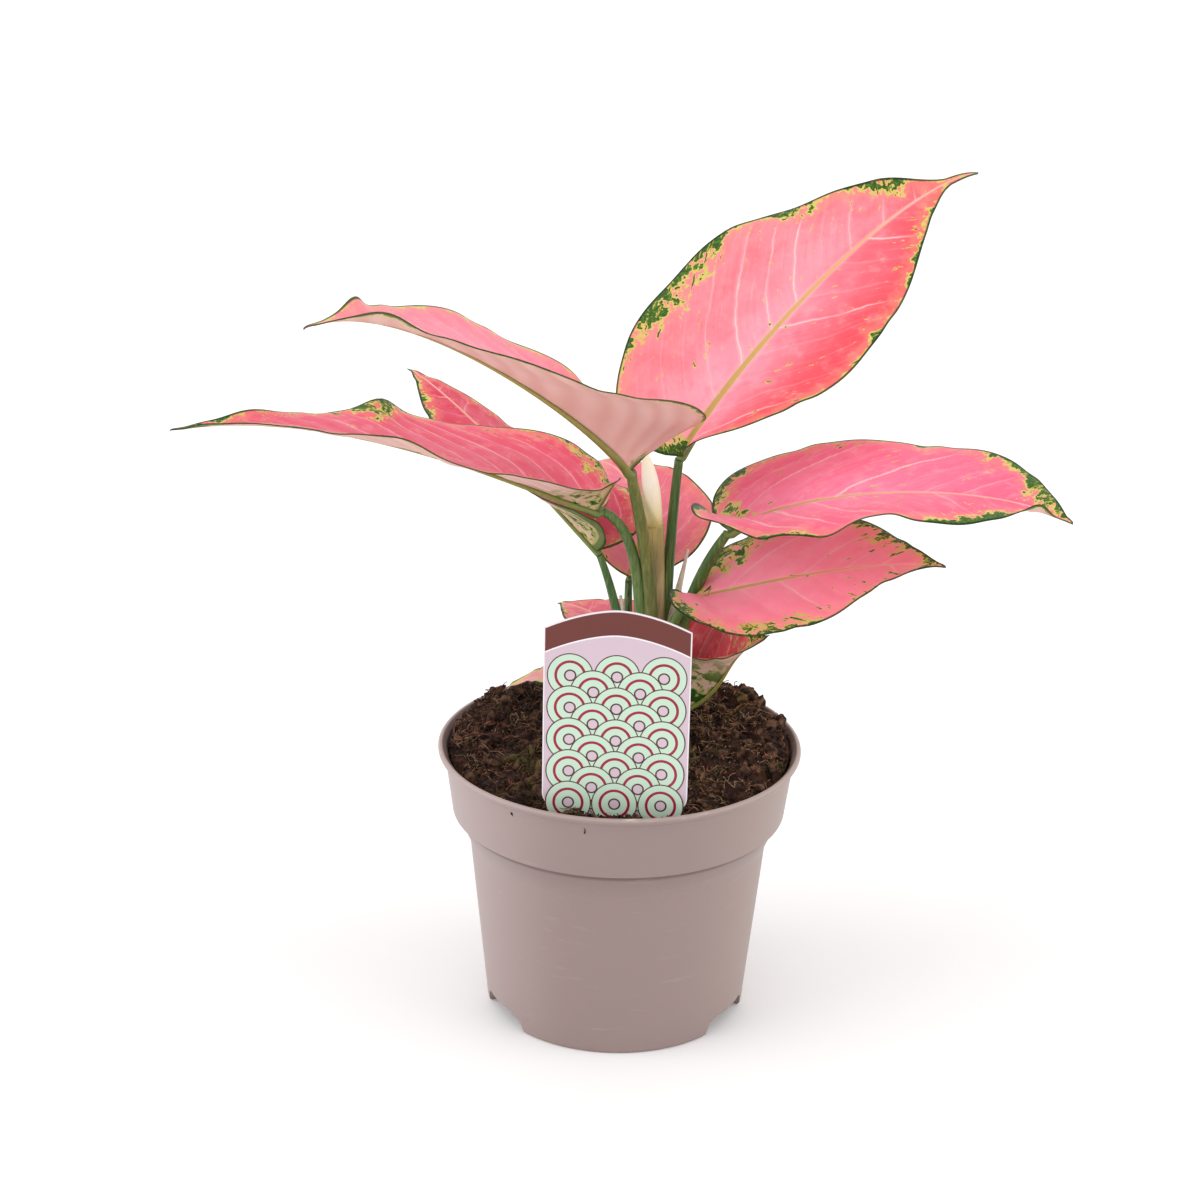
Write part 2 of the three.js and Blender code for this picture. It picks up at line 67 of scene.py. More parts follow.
def bezierSlope(path, s):
    p = np.array(path, float)
    s = np.asarray(s, float)[..., None]
    slope = (1 - s) ** 2 * (p[1] - p[0]) + 2 * (1 - s) * s * (p[2] - p[1]) + s ** 2 * (p[3] - p[2])
    return unit(slope)


# A value given at base, middle and tip
def along(values, s):
    base, middle, tip = values
    return base * (1 - s) * (1 - 2 * s) + middle * 4 * s * (1 - s) + tip * s * (2 * s - 1)


def newPiece(name, points, faces, materials, attributes=None, faceSlots=None, flat=False):
    mesh = bpy.data.meshes.new(name)
    mesh.from_pydata([tuple(p) for p in np.asarray(points) * mm], [], faces)
    for material in materials:
        mesh.materials.append(material)
    for key, values in (attributes or {}).items():
        values = np.asarray(values, np.float32)
        kind = "FLOAT" if values.ndim == 1 else "FLOAT_VECTOR"
        layer = mesh.attributes.new(key, kind, "POINT")
        layer.data.foreach_set("value" if values.ndim == 1 else "vector", values.ravel())
    if faceSlots is not None:
        mesh.polygons.foreach_set("material_index", np.asarray(faceSlots, np.int32))
    mesh.polygons.foreach_set("use_smooth", np.full(len(mesh.polygons), not flat))
    mesh.validate()
    mesh.update()
    piece = bpy.data.objects.new(name, mesh)
    bpy.context.scene.collection.objects.link(piece)
    return piece


def dress(piece, slot, *nodes):
    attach(piece, "root")
    if nodes:
        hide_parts(*nodes)
    return piece


# Quads between rings of the same number of points, the rings closed or open
def bridge(ringCount, sides, closed=True, first=0):
    faces = []
    for ring in range(ringCount - 1):
        for side in range(sides if closed else sides - 1):
            a = first + ring * sides + side
            b = first + ring * sides + (side + 1) % sides
            faces.append((a, b, b + sides, a + sides))
    return faces


# Shader graphs written as expressions

class Sock:
    def __init__(self, shader, out):
        self.shader = shader
        self.out = out

    def maths(self, operation, *others):
        return self.shader.node("Math", {"operation": operation}, [self, *others])

    def __add__(self, other):
        return self.maths("ADD", other)

    def __radd__(self, other):
        return self.maths("ADD", other)

    def __sub__(self, other):
        return self.maths("SUBTRACT", other)

    def __rsub__(self, other):
        return self.shader.node("Math", {"operation": "SUBTRACT"}, [other, self])

    def __mul__(self, other):
        return self.maths("MULTIPLY", other)

    def __rmul__(self, other):
        return self.maths("MULTIPLY", other)

    def __truediv__(self, other):
        return self.maths("DIVIDE", other)

    def __pow__(self, other):
        return self.maths("POWER", other)

    def size(self):
        return self.maths("ABSOLUTE")

    def fraction(self):
        return self.maths("FRACT")

    def atMost(self, other):
        return self.maths("MINIMUM", other)

    # 0 below low, 1 above high, or the other way round where high is the smaller
    def rise(self, low, high):
        settings = {"interpolation_type": "SMOOTHSTEP"}
        if isinstance(low, Sock) or isinstance(high, Sock) or low < high:
            return self.shader.node("MapRange", settings, {"Value": self, "From Min": low, "From Max": high})
        inputs = {"Value": self, "From Min": high, "From Max": low, "To Min": 1.0, "To Max": 0.0}
        return self.shader.node("MapRange", settings, inputs)


class Shader:
    def __init__(self, name, roughness=0.5, specular=0.5):
        self.material = bpy.data.materials.new(name)
        self.material.use_nodes = True
        self.tree = self.material.node_tree
        self.surface = self.tree.nodes["Principled BSDF"]
        self.surface.inputs["Roughness"].default_value = roughness
        self.surface.inputs["Specular IOR Level"].default_value = specular

    def node(self, kind, settings=None, inputs=(), output=0):
        made = self.tree.nodes.new("ShaderNode" + kind)
        for key, value in (settings or {}).items():
            if key == "stops":
                self.fillRamp(made.color_ramp, value)
            else:
                setattr(made, key, value)
        pairs = inputs.items() if isinstance(inputs, dict) else enumerate(inputs)
        for key, value in pairs:
            self.feed(made.inputs[key], value)
        return Sock(self, made.outputs[output])

    def fillRamp(self, ramp, stops):
        while len(ramp.elements) < len(stops):
            ramp.elements.new(0.5)
        for element, (place, colour) in zip(ramp.elements, stops):
            element.position = place
            element.color = srgb(colour)

    # A link, or a value of its own, where a text is a colour
    def feed(self, socket, value):
        if isinstance(value, Sock):
            self.tree.links.new(value.out, socket)
        else:
            socket.default_value = srgb(value) if isinstance(value, str) else value

    def mix(self, share, low, high):
        made = self.tree.nodes.new("ShaderNodeMix")
        made.data_type = "RGBA"
        self.feed(made.inputs[0], share)
        self.feed(made.inputs[6], low)
        self.feed(made.inputs[7], high)
        return Sock(self, made.outputs[2])

    def place(self):
        return self.node("TexCoord", output=3)

    def attribute(self, name, output=1):
        return self.node("Attribute", {"attribute_name": name}, output=output)

    def parts(self, vector):
        made = self.node("SeparateXYZ", None, [vector])
        outs = made.out.node.outputs
        return [Sock(self, outs[k]) for k in range(3)]

    def vector(self, x, y, z):
        return self.node("CombineXYZ", None, [x, y, z])

    def stretch(self, vector, scale, shift=(0, 0, 0)):
        settings = {"vector_type": "POINT"}
        return self.node("Mapping", settings, {"Vector": vector, "Scale": scale, "Location": shift})

    def grain(self, vector, scale, detail=2.0, roughness=0.5, distortion=0.0):
        inputs = {"Vector": vector, "Scale": scale, "Detail": detail, "Roughness": roughness,
                  "Distortion": distortion}
        return self.node("TexNoise", None, inputs)

    # Distance to the nearest of many scattered points, and a random number for each point
    def cells(self, vector, scale):
        near = self.node("TexVoronoi", None, {"Vector": vector, "Scale": scale})
        chance = self.parts(Sock(self, near.out.node.outputs[1]))[0]
        return near, chance

    def bump(self, height, distance, strength=1.0):
        inputs = {"Strength": strength, "Distance": distance, "Height": height}
        return self.node("Bump", None, inputs)

    def finish(self, colour=None, roughness=None, normal=None):
        for key, value in (("Base Color", colour), ("Roughness", roughness), ("Normal", normal)):
            if value is not None:
                self.feed(self.surface.inputs[key], value)
        return self.material


# Pot

pot = {
    "outside": [
        (42.6, 0), (43.4, 0.8), (49.3, 58.5), (49.8, 61), (53.9, 70.1), (55.2, 70.4),
        (57.6, 88.5), (58.3, 90.1), (59.3, 90.7), (60, 91.6), (60, 92.4), (59.5, 93), (58.8, 93),
    ],
    "inside": [
        (58.8, 93), (57.2, 91.4), (56, 87), (53.3, 72), (52.3, 71), (48.2, 61.4), (47.7, 59.2),
        (42, 2.4), (41.2, 1.6),
    ],
    "collarFoot": 70.4, "collarReach": 54.6, "wall": 1.6, "sides": 192,
    "archAngles": (-151, -29, 90), "archWidth": 25, "archHeight": 6, "archReach": 33,
    "drainReach": 39.5, "drainRadius": 3.5,
}


def potMaterial():
    m = Shader("taupePlastic", roughness=0.45, specular=0.3)
    place = m.place()
    broad = m.grain(place, 22, 3)
    fine = m.grain(place, 900, 2)
    x, y, z = m.parts(place)
    foot = pot["collarFoot"] * mm
    scuff = m.grain(m.stretch(place, (60, 60, 420)), 1, 5, 0.65).rise(0.6, 0.74)
    nearRim = z.rise(0.0918, 0.0927)
    colour = m.mix(broad, "#8d7a77", "#94817c")
    # Painted light: the pot's left and right sides are painted lighter than its front
    colour = m.mix(x.rise(0.02, 0.056) * 0.6, colour, "#a18f88")
    colour = m.mix(x.rise(-0.015, -0.055) * 0.75, colour, "#ab9a99")
    # Painted shadow: a dark line and a faint painted shade under the collar
    line = z.rise(foot, foot - 0.0003) * z.rise(foot - 0.0027, foot - 0.0012)
    shade = z.rise(foot - 0.0001, foot - 0.0004) * z.rise(foot - 0.0104, foot - 0.0004)
    colour = m.mix(line * 0.8, colour, "#5d4b48")
    colour = m.mix(shade * 0.25, colour, "#6d5a57")
    # Scuffs, real wear, grow stronger near the rim, and a painted highlight lightens the rim's top
    colour = m.mix(scuff * (0.1 + 0.6 * nearRim), colour, "#d6c8c1")
    colour = m.mix(nearRim * 0.3, colour, "#bfafa8")
    # Painted shade darkens the inner wall above the soil, and the outer wall, which flares upwards, is left
    # out
    outerReach = 0.1326 * (z - foot) + pot["collarReach"] * mm + z.rise(0.0903, 0.0912) * 0.0011
    inside = ((x * x + y * y) ** 0.5 - outerReach).rise(0, -0.0003) * z.rise(0.076, 0.080)
    colour = m.mix(inside * (0.55 + 0.5 * scuff), colour, "#3a261c")
    dirt, chance = m.cells(place, 200)
    speck = dirt.rise(0.1, 0.05) * chance.rise(0.95, 0.97)
    colour = m.mix(speck * z.rise(0.03, 0.09) * 0.7, colour, "#5c483f")
    height = broad * 0.4 + fine * 0.35 + scuff * 0.3
    return m.finish(colour, 0.38 + broad * 0.12 + scuff * 0.12, m.bump(height, 0.00006))


def lathe(profile, sides):
    points = []
    for radius, height in profile:
        for side in range(sides):
            turn = 2 * math.pi * side / sides
            points.append((radius * math.cos(turn), radius * math.sin(turn), height))
    last = (len(profile) - 1) * sides
    faces = bridge(len(profile), sides)
    faces.append(tuple(reversed(range(sides))))
    faces.append(tuple(range(last, last + sides)))
    return points, faces


def roundOff(profile, reach=0.3, steps=4):
    rounded = [profile[0]]
    for before, corner, after in zip(profile, profile[1:], profile[2:]):
        b, c, a = (np.array(p, float) for p in (before, corner, after))
        cut = min(reach, np.linalg.norm(b - c) * 0.45, np.linalg.norm(a - c) * 0.45)
        start = c + (b - c) / np.linalg.norm(b - c) * cut
        end = c + (a - c) / np.linalg.norm(a - c) * cut
        for k in range(steps + 1):
            s = k / steps
            rounded.append(tuple((1 - s) ** 2 * start + 2 * s * (1 - s) * c + s ** 2 * end))
    rounded.append(profile[-1])
    return rounded


def archCutter(name, angle, margin):
    half = pot["archWidth"] / 2 + margin
    top = pot["archHeight"] + margin
    outline = [(-half, -3), (half, -3), (half, 0.5)]
    curve = bezier([(half, 0.5, 0), (half - 0.6, top * 0.7, 0), (half - 2.6, top, 0), (half - 5, top, 0)],
                   np.linspace(0.1, 1, 9))
    outline += [(x, z) for x, z, _ in curve]
    outline += [(-x, z) for x, z, _ in reversed(curve)]
    outline.append((-half, 0.5))
    near, far = pot["archReach"] - margin, 62
    points = [(near, x, z) for x, z in outline] + [(far, x, z) for x, z in outline]
    count = len(outline)
    faces = [tuple(reversed(range(count))), tuple(range(count, 2 * count))]
    faces += [(k, (k + 1) % count, count + (k + 1) % count, count + k) for k in range(count)]
    cutter = newPiece(name, points, faces, [])
    cutter.data.transform(Matrix.Rotation(math.radians(angle), 4, "Z"))
    fixNormals(cutter)
    return cutter


def fixNormals(piece):
    work = bmesh.new()
    work.from_mesh(piece.data)
    bmesh.ops.remove_doubles(work, verts=work.verts, dist=1e-6)
    bmesh.ops.recalc_face_normals(work, faces=work.faces)
    work.to_mesh(piece.data)
    work.free()


def boolean(piece, operation, cutters):
    for cutter in cutters:
        modifier = piece.modifiers.new("cut", "BOOLEAN")
        modifier.operation = operation
        modifier.solver = "EXACT"
        modifier.object = cutter
    bakeModifiers(piece)
    for cutter in cutters:
        bpy.data.objects.remove(cutter)


def bakeModifiers(piece):
    graph = bpy.context.evaluated_depsgraph_get()
    made = bpy.data.meshes.new_from_object(piece.evaluated_get(graph), preserve_all_data_layers=True,
                                           depsgraph=graph)
    piece.modifiers.clear()
    old = piece.data
    piece.data = made
    bpy.data.meshes.remove(old)


def makePot():
    outside = roundOff(pot["outside"])
    points, faces = lathe(outside, pot["sides"])
    body = newPiece("nurseryPot", points, faces, [potMaterial()])
    fixNormals(body)
    inside = [(58.8, 99), (58.8, 93.02)] + roundOff(pot["inside"])[1:]
    points, faces = lathe(inside, pot["sides"])
    hollow = newPiece("hollow", points, faces, [])
    fixNormals(hollow)
    boolean(hollow, "DIFFERENCE", [archCutter("housing", a, pot["wall"]) for a in pot["archAngles"]])
    drains = []
    for angle in pot["archAngles"]:
        points, faces = lathe([(pot["drainRadius"], 4), (pot["drainRadius"], 9)], 32)
        drain = newPiece("drain", points, faces, [])
        fixNormals(drain)
        turn = Matrix.Rotation(math.radians(angle), 4, "Z")
        drain.data.transform(turn @ Matrix.Translation((pot["drainReach"] * mm, 0, 0)))
        drains.append(drain)
    cutters = [hollow] + [archCutter("arch", a, 0) for a in pot["archAngles"]] + drains
    boolean(body, "DIFFERENCE", cutters)
    for polygon in body.data.polygons:
        polygon.use_smooth = True
    body.data.set_sharp_from_angle(angle=math.radians(38))
    dress(body, "taupe_plastic", "pot")
    print("pot", len(body.data.polygons))


# Soil

soil = {
    "reach": 56.2, "widestInside": 56.4, "bottom": 62, "rings": 96, "sides": 260,
    "level": 91.8, "slope": 0.065, "edgeDrop": 0.9, "wallGap": 0.9, "lowGap": 0.25, "strandReach": 55.4,
    "clods": (3.8, 8.5), "lumps": (1.5, 3), "grit": (1.3, 2.6),
    "hills": [
        (9, 6, 1, 15), (-46, 24, 1.2, 8), (42, 30, 2, 10), (50, 9, 3, 9), (-50, 8, 2, 9), (-30, -32, 1, 8),
        (34, -34, 1, 8), (-30, 50, 1.5, 6), (38, 38, 2.5, 10), (-43, 34, 4, 2),
    ],
}

# What lies on the soil, as the inputs of its geometry graph, with its look: a name, a dark and a light
# colour and a roughness. Lumps are sized in millimetres. Strands are measured in metres.
litter = {
    "soilCrumbs": {
        "Density": 420000, "Smallest": (0.35, 0.35, 0.3), "Largest": (1.0, 0.85, 0.8), "Faces": 1, "Seed": 3,
        "look": ("peatCrumb", "#150c08", "#523527", 0.95),
    },
    "soilLumps": {
        "Density": 16000, "Smallest": (1.0, 0.9, 0.8), "Largest": (3.8, 3.2, 2.6), "Faces": 3, "Seed": 8,
        "look": ("peatClod", "#1d100b", "#70503c", 0.95),
    },
    "coirFibres": {
        "Density": 210000, "Patches": 70.0, "Shortest": 0.003, "Longest": 0.009, "Thickness": 0.00015,
        "Crook": 0.007, "Lift": 0.0004, "Seed": 21, "look": ("coirFibre", "#3d281c", "#ab8a69", 0.85),
    },
    "peatStrands": {
        "Density": 150000, "Patches": 90.0, "Shortest": 0.002, "Longest": 0.006, "Thickness": 0.0002,
        "Crook": 0.006, "Lift": 0.0003, "Seed": 26, "look": ("peatStrand", "#1a0e0a", "#5d4a33", 0.9),
    },
    "ruddyFibres": {
        "Density": 60000, "Patches": 110.0, "Shortest": 0.003, "Longest": 0.008, "Thickness": 0.00017,
        "Crook": 0.008, "Lift": 0.0007, "Seed": 44, "look": ("ruddyFibre", "#522d21", "#ad7157", 0.85),
    },
    "rootHairs": {
        "Density": 1600, "Patches": 40.0, "Shortest": 0.008, "Longest": 0.02, "Thickness": 0.0001,
        "Crook": 0.012, "Lift": 0.0007, "Seed": 4, "look": ("rootHair", "#8d6f57", "#c4ad92", 0.7),
    },
    "paleGrit": {
        "Density": 4000, "Smallest": (0.15, 0.15, 0.15), "Largest": (0.4, 0.35, 0.3), "Faces": 1, "Seed": 31,
        "look": ("paleGrit", "#b7ab97", "#e2d9c6", 0.8),
    },
}


def soilHeight(x, y):
    height = soil["level"] + soil["slope"] * y
    for hillX, hillY, rise, spread in soil["hills"]:
        height += rise * math.exp(-((x - hillX) ** 2 + (y - hillY) ** 2) / (2 * spread ** 2))
    height += 0.8 * math.sin(x * 0.41 + 1.3 * math.sin(y * 0.23)) * math.sin(y * 0.37 + 0.6)
    height += 0.5 * math.sin(x * 0.83 + y * 0.47) * math.sin(y * 0.91 - x * 0.29 + 2)
    return height - soil["edgeDrop"] * float(smooth(50, 56, math.hypot(x, y)))


# Clods, cracks and grit on top of the heaped ground, each a height and a size
def soilGrit(x, y):
    place = Vector((x, y, 3.0))
    (clodHeight, clodSize), (lumpHeight, lumpSize), (gritHeight, gritSize) = (
        soil[key] for key in ("clods", "lumps", "grit"))
    clod = clodHeight * (0.42 - noise.voronoi(place / clodSize)[0][0])
    lump = lumpHeight * (0.5 - noise.voronoi(place / lumpSize)[0][0])
    return clod + lump + gritHeight * noise.fractal(place / gritSize, 0.9, 2.1, 4)


def soilMaterial():
    m = Shader("pottingSoil", roughness=0.95, specular=0.25)
    place = m.place()
    broad = m.grain(place, 90, 4, 0.6)
    fine = m.grain(place, 900, 4, 0.7)
    colour = m.node("ValToRGB", {"stops": [
        (0.32, "#0d0705"), (0.46, "#22140f"), (0.58, "#452b21"), (0.72, "#7a5642"),
    ]}, [broad * 0.55 + fine * 0.5])
    warm = m.grain(place, 240, 3).rise(0.56, 0.68)
    colour = m.mix(warm * 0.5, colour, "#6b4330")
    moss = m.grain(place, 60, 3).rise(0.58, 0.68) * fine.rise(0.45, 0.6)
    colour = m.mix(moss * 0.5, colour, "#615c34")
    return m.finish(colour, 0.9 - 0.15 * broad, m.bump(fine + broad * 0.6, 0.0009))


def crumbMaterial(name, dark, light, roughness):
    m = Shader(name, roughness=roughness, specular=0.3)
    place = m.place()
    toRight = m.parts(place)[0].rise(-0.01, 0.03)
    share = m.grain(place, 420, 3, 0.6).rise(0.35, 0.68) * (0.75 + 0.35 * toRight)
    colour = m.mix(share, dark, light)
    colour = m.mix(m.grain(place, 60, 3).rise(0.57, 0.66) * 0.45, colour, "#5f5b2c")
    return m.finish(colour, None, m.bump(m.grain(place, 1500, 3), 0.0003))


# A geometry graph written like the shader graphs
class Graph:
    def __init__(self, name, inputs):
        self.tree = bpy.data.node_groups.new(name, "GeometryNodeTree")
        self.tree.interface.new_socket("Geometry", in_out="INPUT", socket_type="NodeSocketGeometry")
        for key, kind in inputs:
            self.tree.interface.new_socket(key, in_out="INPUT", socket_type="NodeSocket" + kind)
        self.tree.interface.new_socket("Geometry", in_out="OUTPUT", socket_type="NodeSocketGeometry")
        self.start = self.tree.nodes.new("NodeGroupInput").outputs
        self.end = self.tree.nodes.new("NodeGroupOutput").inputs

    def node(self, kind, settings=None, inputs=None):
        made = self.tree.nodes.new(kind)
        for key, value in (settings or {}).items():
            setattr(made, key, value)
        for key, value in (inputs or {}).items():
            if isinstance(value, bpy.types.NodeSocket):
                self.tree.links.new(value, made.inputs[key])
            elif isinstance(value, bpy.types.Node):
                self.tree.links.new(value.outputs[0], made.inputs[key])
            else:
                made.inputs[key].default_value = value
        return made

    def vectorMaths(self, operation, inputs):
        return self.node("ShaderNodeVectorMath", {"operation": operation}, inputs).outputs[0]

    # Gives the shape its material and ends the graph
    def finish(self, shape):
        finish = {"Geometry": shape, "Material": self.start["Material"]}
        made = self.node("GeometryNodeSetMaterial", None, finish)
        self.tree.links.new(made.outputs[0], self.end[0])
        return self.tree


def randomVector(graph, low, high, seed):
    made = graph.node("FunctionNodeRandomValue", {"data_type": "FLOAT_VECTOR"})
    made.inputs[0].default_value = low
    made.inputs[1].default_value = high
    made.inputs[8].default_value = seed
    return made.outputs[0]


# Small lumps strewn over the ground, each turned and squashed by chance
def crumbTree():
    graph = Graph("crumbs", [("Density", "Float"), ("Smallest", "Vector"), ("Largest", "Vector"),
                             ("Faces", "Int"), ("Seed", "Int"), ("Material", "Material")])
    start = graph.start
    strewn = graph.node("GeometryNodeDistributePointsOnFaces", {"distribute_method": "RANDOM"},
                        {"Mesh": start["Geometry"], "Density": start["Density"], "Seed": start["Seed"]})
    lump = graph.node("GeometryNodeMeshIcoSphere", None, {"Radius": 0.001, "Subdivisions": start["Faces"]})
    dent = graph.node("ShaderNodeTexNoise", None, {"Scale": 900.0, "Detail": 1.0})
    centred = graph.vectorMaths("SUBTRACT", {0: dent.outputs[1], 1: (0.5, 0.5, 0.5)})
    moved = graph.vectorMaths("SCALE", {0: centred, "Scale": 0.0014})
    rough = graph.node("GeometryNodeSetPosition", None, {"Geometry": lump, "Offset": moved})
    turn = randomVector(graph, (0, 0, 0), (6.28, 6.28, 6.28), 5)
    size = graph.node("FunctionNodeRandomValue", {"data_type": "FLOAT_VECTOR"},
                      {0: start["Smallest"], 1: start["Largest"], 8: start["Seed"]})
    placed = graph.node("GeometryNodeInstanceOnPoints", None,
                        {"Points": strewn, "Instance": rough, "Rotation": turn, "Scale": size.outputs[0]})
    real = graph.node("GeometryNodeRealizeInstances", None, {"Geometry": placed})
    return graph.finish(graph.node("GeometryNodeSetShadeSmooth", None,
                                   {"Geometry": real, "Shade Smooth": False}))


# Fine crooked strands lying over the ground
def strandTree():
    measures = ("Density", "Patches", "Shortest", "Longest", "Thickness", "Crook", "Lift", "Reach")
    inputs = [(key, "Float") for key in measures]
    graph = Graph("strands", inputs + [("Seed", "Int"), ("Material", "Material")])
    start = graph.start
    patchy = graph.node("ShaderNodeTexNoise", None, {"Scale": start["Patches"], "Detail": 1.0})
    dense = graph.node("ShaderNodeMapRange", None, {"Value": patchy.outputs[0], "From Min": 0.46,
                                                    "From Max": 0.58, "To Min": 0.08, "To Max": 1.0})
    density = graph.node("ShaderNodeMath", {"operation": "MULTIPLY"}, {0: dense, 1: start["Density"]})
    strewn = graph.node("GeometryNodeDistributePointsOnFaces", {"distribute_method": "RANDOM"},
                        {"Mesh": start["Geometry"], "Density": density, "Seed": start["Seed"]})
    line = graph.node("GeometryNodeCurvePrimitiveLine", None, {"Start": (-0.5, 0, 0), "End": (0.5, 0, 0)})
    fine = graph.node("GeometryNodeResampleCurve", None, {"Curve": line, "Count": 7})
    turn = randomVector(graph, (-0.45, -0.45, 0), (0.45, 0.45, 6.28), 11)
    length = graph.node("FunctionNodeRandomValue", {"data_type": "FLOAT"},
                        {2: start["Shortest"], 3: start["Longest"], 8: start["Seed"]})
    placed = graph.node("GeometryNodeInstanceOnPoints", None,
                        {"Points": strewn, "Instance": fine, "Rotation": turn, "Scale": length.outputs[1]})
    real = graph.node("GeometryNodeRealizeInstances", None, {"Geometry": placed})
    drift = graph.node("ShaderNodeTexNoise", None, {"Scale": 240.0, "Detail": 2.0})
    centred = graph.vectorMaths("SUBTRACT", {0: drift.outputs[1], 1: (0.5, 0.5, 0.5)})
    crook = graph.vectorMaths("SCALE", {0: centred, "Scale": start["Crook"]})
    rise = graph.node("ShaderNodeCombineXYZ", None, {"Z": start["Lift"]})
    shift = graph.vectorMaths("ADD", {0: crook, 1: rise})
    loose = graph.node("GeometryNodeSetPosition", None, {"Geometry": real, "Offset": shift})
    # Strands that would run through the pot's wall are drawn in
    where = graph.node("GeometryNodeInputPosition")
    level = graph.vectorMaths("MULTIPLY", {0: where, 1: (1, 1, 0)})
    reach = graph.node("ShaderNodeVectorMath", {"operation": "LENGTH"}, {0: level})
    inward = graph.node("ShaderNodeMath", {"operation": "DIVIDE"}, {0: start["Reach"], 1: reach.outputs[1]})
    share = graph.node("ShaderNodeMath", {"operation": "MINIMUM"}, {0: inward, 1: 1.0})
    drawn = graph.node("ShaderNodeCombineXYZ", None, {"X": share, "Y": share, "Z": 1.0})
    place = graph.vectorMaths("MULTIPLY", {0: where, 1: drawn})
    bent = graph.node("GeometryNodeSetPosition", None, {"Geometry": loose, "Position": place})
    section = graph.node("GeometryNodeCurvePrimitiveCircle", None,
                         {"Resolution": 3, "Radius": start["Thickness"]})
    return graph.finish(graph.node("GeometryNodeCurveToMesh", None,
                                   {"Curve": bent, "Profile Curve": section, "Fill Caps": True}))


# Runs a geometry graph over a carrier and keeps the result as a mesh of its own
def grow(name, carrier, tree, values):
    piece = bpy.data.objects.new(name, carrier.data.copy())
    bpy.context.scene.collection.objects.link(piece)
    modifier = piece.modifiers.new("grow", "NODES")
    modifier.node_group = tree
    for item in tree.interface.items_tree:
        if item.in_out == "INPUT" and item.name in values:
            modifier[item.identifier] = values[item.name]
    bakeModifiers(piece)
    return piece


def potInsideRadius(height):
    profile = list(reversed(pot["inside"]))
    return float(np.interp(height, [h for _, h in profile], [r for r, _ in profile]))


# The ground's faces come first, from the middle outwards, then the ball's side and its flat underside
def soilMesh():
    sides, rings = soil["sides"], soil["rings"]
    turns = [2 * math.pi * side / sides for side in range(sides)]
    points = [(0, 0, soilHeight(0, 0) + soilGrit(0, 0))]
    for ring in range(1, rings + 1):
        share = ring / rings
        reach = soil["reach"] * share
        for turn in turns:
            x, y = reach * math.cos(turn), reach * math.sin(turn)
            height = soilHeight(x, y) + soilGrit(x, y) * min(1, 3 * (1 - share) + 0.55)
            limit = min(potInsideRadius(height) - soil["wallGap"], soil["widestInside"])
            shrink = min(1, limit / reach)
            points.append((x * shrink, y * shrink, height))
    rim = 1 + (rings - 1) * sides
    low = len(points)
    radius = potInsideRadius(soil["bottom"]) - soil["lowGap"]
    points += [(radius * math.cos(turn), radius * math.sin(turn), soil["bottom"]) for turn in turns]
    points.append((0, 0, soil["bottom"]))
    faces = [(0, 1 + side, 1 + (side + 1) % sides) for side in range(sides)]
    faces += [tuple(reversed(f)) for f in bridge(rings, sides, True, 1)]
    for side in range(sides):
        after = (side + 1) % sides
        faces.append((rim + side, low + side, low + after, rim + after))
        faces.append((low + side, low + sides, low + after))
    return points, faces


def makeSoil():
    points, faces = soilMesh()
    ground = newPiece("soilBed", points, faces, [soilMaterial()])
    fixNormals(ground)
    above = 1 + soil["rings"] * soil["sides"]
    top = newPiece("ground", points[:above], faces[:above - 1], [])
    crumbs, strands = crumbTree(), strandTree()
    for name, values in litter.items():
        own = {"Reach": soil["strandReach"] * mm, "Material": crumbMaterial(*values["look"])}
        piece = grow(name, top, strands if "Longest" in values else crumbs, {**values, **own})
        dress(piece, "potting_soil")
        print(name, len(piece.data.polygons))
    bpy.data.objects.remove(top)
    dress(ground, "potting_soil", "soil")
    print("soil", len(ground.data.polygons))


# Leaves. Each blade: the four points that steer its midrib, its half widths, the share of its length where
# it is widest, how it narrows to its tip, and its angles at base, middle and tip. Its margins have long
# waves, each a height, a count and a start, and crests, each a height, a place and a spread.

